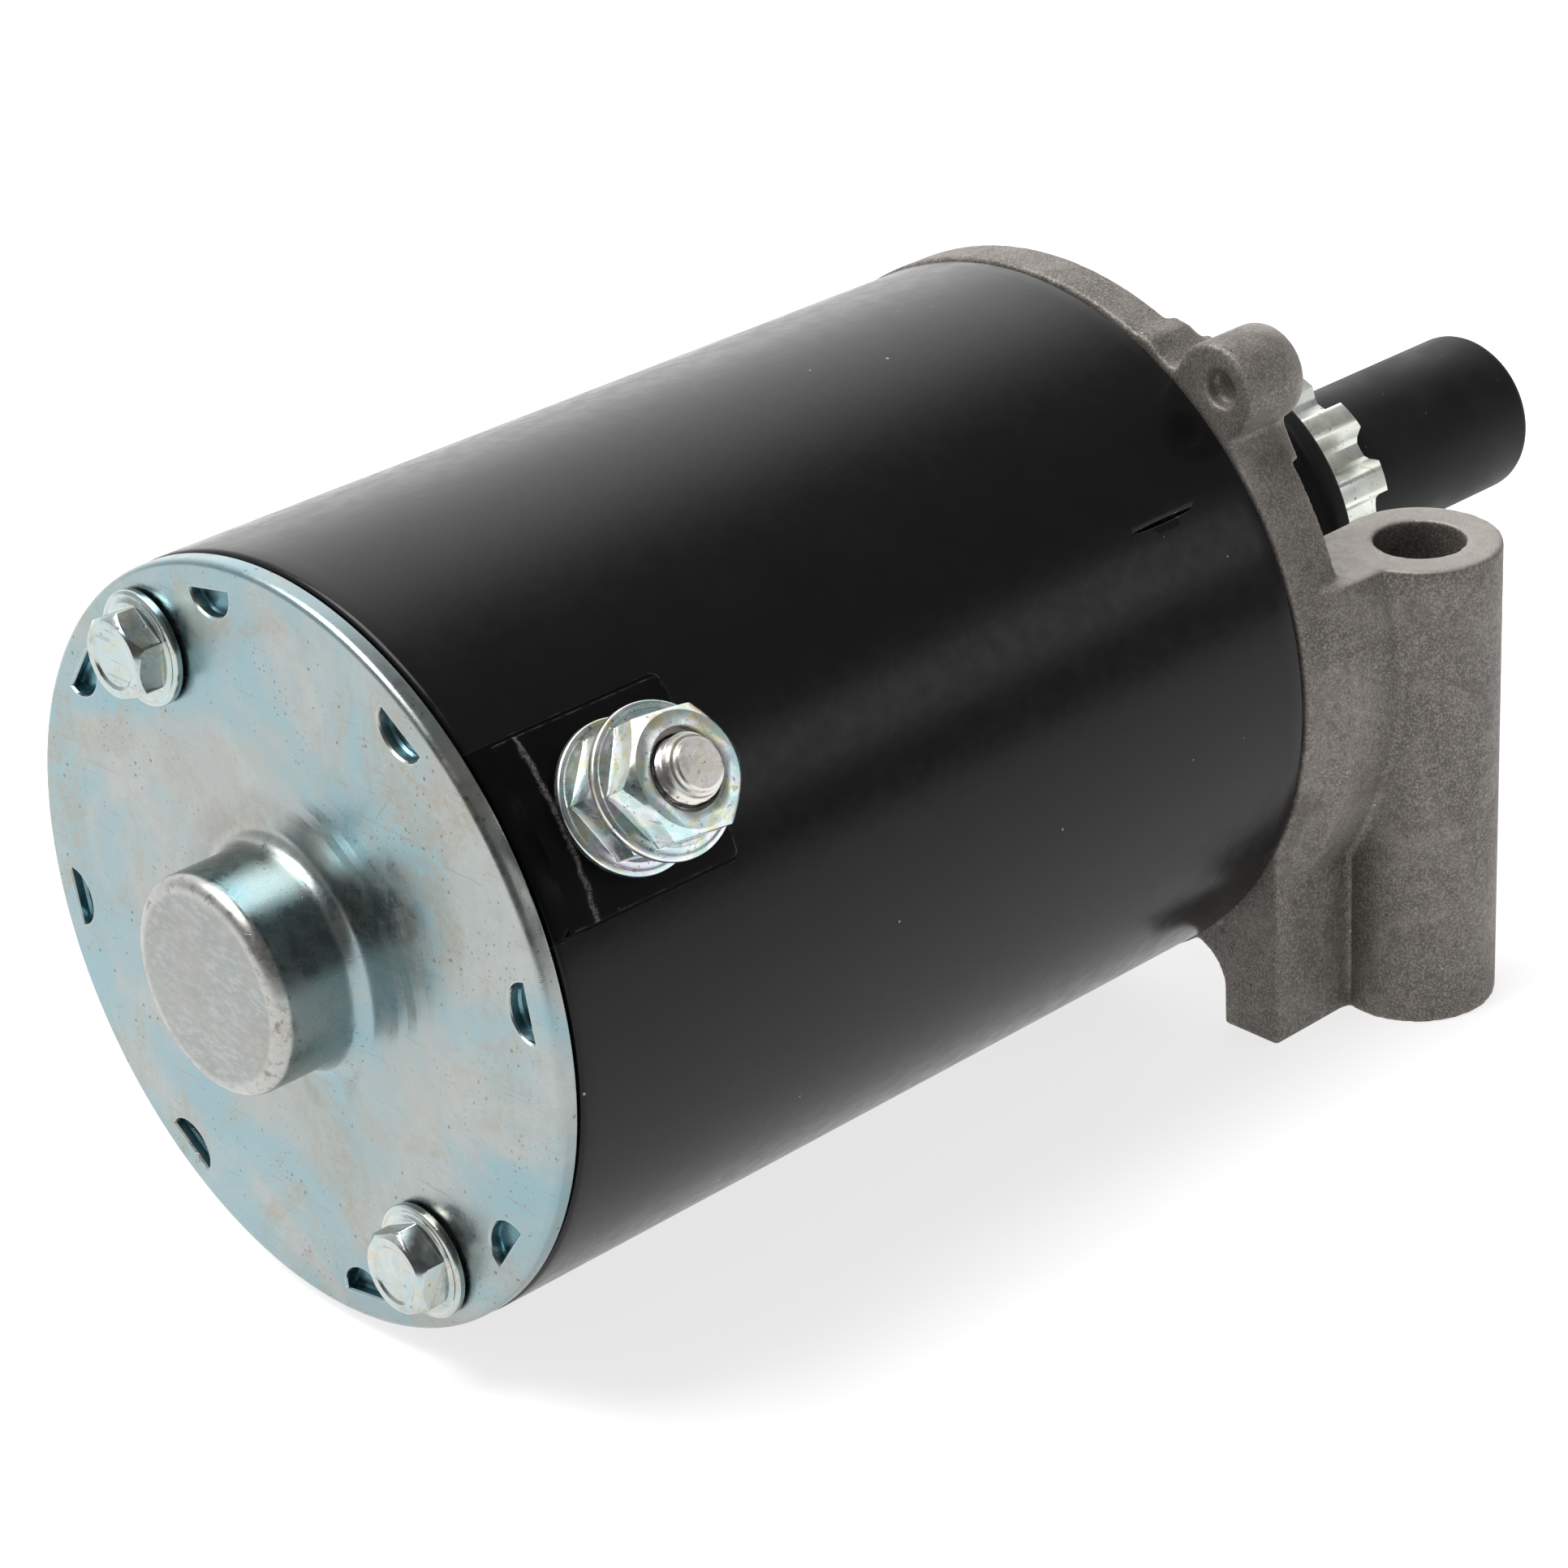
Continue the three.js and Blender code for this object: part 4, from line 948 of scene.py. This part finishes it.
def boss_side(side):
    def across(a, b):
        return tuple(sorted((side * a, side * b)))

    boss = upright(rod(BOSS_BOTTOM, BOSS_TOP, BOSS_R, segments=96), BOSS_X, side * BOSS_Y)
    leg = block((RING_START, BOSS_X), across(*LEG_Y), (BOSS_BOTTOM, 0))
    face = across(LEG_Y[0] + 1.3, SHOULDER_R + 1)
    wall = block((SHOULDER_START, BOSS_X), face, (SHOULDER_BOTTOM, BOSS_TOP))
    skin = turned([
        (RING_START, 0), (RING_START, RING_R), (SHOULDER_START, RING_R), (SHOULDER_START + 2.2, SHOULDER_R),
        (BOSS_X, SHOULDER_R), (BOSS_X, 0),
    ])
    rib = block((RING_END - 1, BOSS_X - 4), across(HUB_R - 3, LEG_Y[0] + 2), (-3, 3))
    return [boss, leg, common(wall, skin), rib]


def leg_fillet(side):
    centre = side * (LEG_Y[0] - LEG_FILLET_R)
    face = side * (LEG_Y[0] + 0.5)
    corner = block((RING_START, RING_END), tuple(sorted((centre, face))), (LEG_FILLET_Z, LEG_FILLET_Z + 7))
    return cut(corner, rod(RING_START - 1, RING_END + 1, LEG_FILLET_R, centre, LEG_FILLET_Z))


def ring_sector(x1, start, end, outer, inner=34.5, swell=0.0, fade=0.25):
    """Part of the ring, outer + swell in radius in its middle and fading to both ends."""
    angles = steps_between(start, end, 1.5)
    outline = []
    for a in angles:
        share = min(a - start, end - a) / (fade * (end - start))
        outline.append(polar(outer + swell * (0.5 - 0.5 * math.cos(math.pi * min(1.0, share))), a))
    outline += [polar(inner, a) for a in reversed(angles)]
    return prism(outline, RING_START, x1)


def ear():
    barrel = turned(rounded([
        (RING_START, 0), (RING_START, EAR_R, 0.4), (EAR_END, EAR_R, 1.3), (EAR_END, 0),
    ]), 64)
    moved(barrel, 0, *EAR)
    neck = ring_sector(EAR_END - 0.6, *EAR_NECK_ANGLES, RING_R - 0.2, swell=1.3, fade=0.45)
    knob = ring_sector(EAR_END - 2.6, *EAR_KNOB_ANGLES, RING_R, swell=0.45, fade=0.5)
    root = ring_sector(THICK_RING_END, *THICK_RING_ANGLES, RING_R - 0.05)
    return [barrel, neck, knob, root]


def drive_end_cap():
    plate = turned(rounded([
        (PILOT_START, PILOT_INNER_R), (PILOT_START, PILOT_R), (RING_START, PILOT_R), (RING_START, RING_R),
        (RING_END, RING_R, 0.8), (RING_END, HUB_R + 3, 3.0), (HUB_END, HUB_R - 1.2, 1.0),
        (HUB_END, HUB_BORE_R), (RING_START - 2, HUB_BORE_R), (RING_START - 2, HUB_R - 1),
        (RING_START + 0.9, HUB_R + 0.5), (RING_START + 0.9, PILOT_INNER_R),
    ], closed=True), closed=True)
    bolt_bosses = [rod(BOLT_BOSS_START, RING_START + 2, BOLT_BOSS_R, *polar(BOLT_BOSS_CIRCLE_R, a))
                   for a in BOLT_ANGLES]
    sides = [solid for side in (-1, 1) for solid in (*boss_side(side), leg_fillet(side))]
    body = union(plate, *bolt_bosses, *sides, *ear())
    bolt_holes = [rod(BOLT_BOSS_START - 2, BOLT_TIP + 0.9, BOLT_R + GAP, *polar(BOLT_CIRCLE_R, a))
                  for a in BOLT_ANGLES]
    bores = [upright(rod(BOSS_BOTTOM - 1, BOSS_TOP + 1, BOSS_BORE_R), BOSS_X, side * BOSS_Y)
             for side in (-1, 1)]
    dimple = rod(RING_START - 1, RING_START + 1.6, DIMPLE_R, EAR[0] - 0.9, EAR[1] + 0.5)
    body = cut(body, *bolt_holes, *bores, dimple)
    voxels = body.modifiers.new("voxels", "REMESH")
    voxels.mode = "VOXEL"
    voxels.voxel_size = 0.36
    relax = body.modifiers.new("relax", "SMOOTH")
    relax.factor = 0.5
    relax.iterations = 4
    thin = body.modifiers.new("thin", "DECIMATE")
    thin.ratio = 0.3
    return bake(body)


piece(drive_end_cap(), "drive_end_cap_fine", "housing", "cast_aluminium", ["drive_end_cap"], angle=60)

# ---------------------------------------------------------------- inertia drive


def tooth_outline():
    """Ten rounded teeth as points (y, z, corner radius)."""
    outline = []
    step = 360 / PINION_TEETH
    for k in range(PINION_TEETH):
        centre = step * k + 20.5
        for r, turn, corner in (
            (PINION_ROOT_R, -13.5, 0), (PINION_ROOT_R + 0.5, -10.8, 0.8), (PINION_TIP_R, -6.0, 0.7),
            (PINION_TIP_R + 0.02, 0, 0), (PINION_TIP_R, 6.0, 0.7), (PINION_ROOT_R + 0.5, 10.8, 0.8),
            (PINION_ROOT_R, 13.5, 0), (PINION_ROOT_R - 0.1, 18, 0),
        ):
            outline.append((*polar(r, centre + turn), corner))
    return rounded(outline, closed=True, steps=4)


def pinion():
    x0, x1, hub = PINION_START, PINION_END, PINION_HUB_START
    envelope = turned(rounded([
        (x0, 0), (x0, PINION_TIP_R + 0.2, 0.3), (x1 - 1.5, PINION_TIP_R + 0.2, 0.3),
        (x1, PINION_TIP_R - 1.3, 0.2), (x1, 0),
    ]), 128)
    gear = common(prism(tooth_outline(), x0, x1), envelope)
    union(gear, rod(hub, x0 + 1, PINION_HUB_R, segments=96))
    r = PINION_BORE_R
    bore = turned([
        (hub - 1, 0), (hub - 1, r + 1.2), (hub, r + 0.5), (hub + 0.5, r),
        (x1 - 0.6, r), (x1, r + 0.6), (x1 + 1, r + 1.6), (x1 + 1, 0),
    ], 96)
    return softened(cut(gear, bore), 0.15)


def dust_disc():
    x0, x1 = DISC_X
    inner = PINION_HUB_R + GAP
    return turned(rounded([
        (x0, inner, 0.2), (x0, 12.0, 0.4), (x0 + 0.35, 12.5, 0.4), (x0 + 0.35, 16.6, 0.4), (x0, 17.1, 0.4),
        (x0, DISC_R, 0.7), (x1, DISC_R, 0.7), (x1, inner, 0.2),
    ], closed=True, steps=4), closed=True)


def dust_cap():
    x0, x1 = CAP_X
    inner = CAP_R - CAP_WALL
    return turned(rounded([
        (x0, inner, 0.2), (x0, CAP_R, 0.3), (x1, CAP_R, 1.3), (x1, 3.2, 0.3), (x1 - 0.35, 2.9, 0.3),
        (x1 - 0.35, 0),
        (x1 - CAP_WALL, 0), (x1 - CAP_WALL, inner, 0.8), (x0, inner),
    ], steps=6)[:-1] + [(x0, inner + 0.001)], 128)


def drive_sleeve():
    x0, x1 = SLEEVE_X
    outline = []
    for k in range(6):
        centre = 60 * k
        outline += [
            (*polar(5.4, centre - 25), 0.2), (*polar(SLEEVE_R, centre - 15), 0.2),
            (*polar(SLEEVE_R + 0.02, centre), 0), (*polar(SLEEVE_R, centre + 15), 0.2),
            (*polar(5.4, centre + 25), 0.2),
        ]
    outline = rounded(outline, closed=True, steps=2)
    sections = [(x, outline) for x in steps_between(x0, x1 - 0.6, 0.6)]
    sections.append((x1, [(0.93 * y, 0.93 * z) for y, z in outline]))
    splines = lofted(sections, 2 * math.pi / HELIX_LEAD)
    collar = turned(rounded([
        (x0, 0), (x0, 7.8, 0.4), (PINION_HUB_START - 0.6, 7.8, 0.4), (PINION_HUB_START - 0.6, 0),
    ]), 96)
    body = union(splines, collar)
    return softened(cut(body, rod(x0 - 1, x1 + 1, DRIVE_SHAFT_R + GAP)), 0.08, 1, 50)


piece(pinion(), "pinion_fine", "pinion_gear", "bright_steel", ["pinion"], PINION_LOOK)
piece(dust_disc(), "dust_disc_fine", "pinion_gear", "black_plastic", ["dust_disc"], RUBBER_LOOK)
piece(dust_cap(), "dust_cap_fine", "drive_carriage", "black_plastic", ["dust_cap"])
piece(drive_sleeve(), "drive_sleeve_fine", "armature", "bright_steel", ["drive_sleeve"])
spring = piece(coil(*SPRING_X, SPRING_R, SPRING_WIRE_R, 7.5), "anti_drift_spring_fine", "armature",
               "spring_steel", ["anti_drift_spring"])
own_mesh(spring)

inner_end, outer_end = BRUSH_SPRING_ENDS
for k in range(1, 5):
    angle = 90 * (k - 1)
    wire = coil(0, outer_end - inner_end, BRUSH_SPRING_R, BRUSH_SPRING_WIRE_R, 4.0, sides=8, per_turn=24)
    wire.data.transform(Matrix.Rotation(math.radians(-90), 4, "Y"))
    wire = piece(moved(wire, BRUSH_X, 0, inner_end), f"brush_spring_{k}_fine", "housing", "spring_steel",
                 [f"brush_spring_{k}"], place=around_shaft(angle))
    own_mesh(wire)

# ---------------------------------------------------------------- carried-over CAD nodes

SLOT_OF = {
    "rear_bush": "bronze",
    "front_bush": "bronze",
    "brush_board": "phenolic",
    "armature_shaft": "bright_steel",
    "rear_thrust_washer": "phenolic",
    "front_thrust_washer": "phenolic",
    "commutator": "copper",
    "armature_windings": "copper",
    "armature_core": "laminated_iron",
    "drive_thrust_washer": "bright_steel",
    "dust_cap_spacer": "black_plastic",
    "stop_spacer": "bright_steel",
    "stop_nut": "bright_steel",
}
for k in range(1, 5):
    SLOT_OF[f"brush_{k}"] = "carbon"
    SLOT_OF[f"brush_holder_{k}"] = "brass"
    SLOT_OF[f"magnet_{k}"] = "ferrite"

for node_name, slot_name in SLOT_OF.items():
    obj = nodes[node_name]
    obj.data.materials.clear()
    obj.data.materials.append(LOOKS[slot_name])
    weld = obj.modifiers.new("weld", "WELD")
    weld.merge_threshold = 0.01 * MM
    bevel = obj.modifiers.new("bevel", "BEVEL")
    bevel.width = 0.15 * MM
    bevel.segments = 2
    bevel.limit_method = "ANGLE"
    bevel.angle_limit = math.radians(35)

# ---------------------------------------------------------------- floor, light and camera


def floor():
    bm = bmesh.new()
    bmesh.ops.create_grid(bm, x_segments=8, y_segments=8, size=4.0)
    plane = new_object(bm, "floor")
    look = Look("floor_look")
    shade_of = look.mix(look.noise(60, detail=3), (0.42, 0.42, 0.42), (0.45, 0.45, 0.45))
    look.set(Base_Color=shade_of, Roughness=0.85, Specular_IOR_Level=0.2)
    look.set(Emission_Color=(1.0, 1.0, 1.0), Emission_Strength=0.76)
    look.raise_by(look.noise(1.5), 0.01)
    plane.data.materials.append(look.done())


def soft_light(name, place, target, size, radiance, tall=None):
    light = bpy.data.lights.new(name, "AREA")
    light.shape = "RECTANGLE"
    light.size = size
    light.size_y = tall or size
    light.energy = radiance * math.pi * light.size * light.size_y
    lamp = bpy.data.objects.new(name, light)
    lamp.location = place
    lamp.rotation_euler = (Vector(target) - Vector(place)).to_track_quat("-Z", "Y").to_euler()
    bpy.context.scene.collection.objects.link(lamp)


def eased(tree, value, low, high, out_low, out_high):
    """A smooth step from out_low to out_high as a value goes from low to high."""
    step = tree.nodes.new("ShaderNodeMapRange")
    step.interpolation_type = "SMOOTHSTEP"
    for key, number in (("From Min", low), ("From Max", high), ("To Min", out_low), ("To Max", out_high)):
        step.inputs[key].default_value = number
    tree.links.new(value, step.inputs["Value"])
    return step.outputs[0]


def studio():
    """A pale room that is bright behind the motor and dim on the camera's side."""
    world = bpy.data.worlds.new("studio")
    world.use_nodes = True
    tree = world.node_tree
    place = tree.nodes.new("ShaderNodeTexCoord")
    split = tree.nodes.new("ShaderNodeSeparateXYZ")
    tree.links.new(place.outputs["Generated"], split.inputs[0])
    product = tree.nodes.new("ShaderNodeMath")
    product.operation = "MULTIPLY"
    tree.links.new(eased(tree, split.outputs["Y"], 0.0, 0.55, 0.14, 1.0), product.inputs[0])
    tree.links.new(eased(tree, split.outputs["X"], -0.6, 0.4, 0.7, 1.8), product.inputs[1])
    background = tree.nodes["Background"]
    background.inputs["Color"].default_value = (1.0, 1.0, 1.0, 1.0)
    tree.links.new(product.outputs[0], background.inputs["Strength"])
    bpy.context.scene.world = world
    soft_light("overhead", (-0.42, 0.26, 1.12), (0, 0, 0), 0.8, 9.3)
    soft_light("front_band", (0.78, -0.95, 0.50), (0, 0, 0.04), 0.5, 1.5, 0.3)


def photo_camera():
    angles = (CAMERA_AZIMUTH, CAMERA_ELEVATION, CAMERA_ROLL)
    azimuth, elevation, roll = (math.radians(angle) for angle in angles)
    level = math.cos(elevation)
    back = Vector((math.sin(azimuth) * level, -math.cos(azimuth) * level, math.sin(elevation)))
    data = bpy.data.cameras.new("photo_camera")
    data.sensor_width = 36.0
    data.lens = CAMERA_LENS
    data.clip_start = 0.01
    camera = bpy.data.objects.new("photo_camera", data)
    turn = (-back).to_track_quat("-Z", "Y").to_matrix().to_4x4() @ Matrix.Rotation(roll, 4, "Z")
    camera.matrix_world = Matrix.Translation(MOTOR @ Vector(CAMERA_PLACE)) @ turn
    bpy.context.scene.collection.objects.link(camera)
    bpy.context.scene.camera = camera


floor()
studio()
photo_camera()
bpy.context.scene.view_settings.view_transform = "Standard"
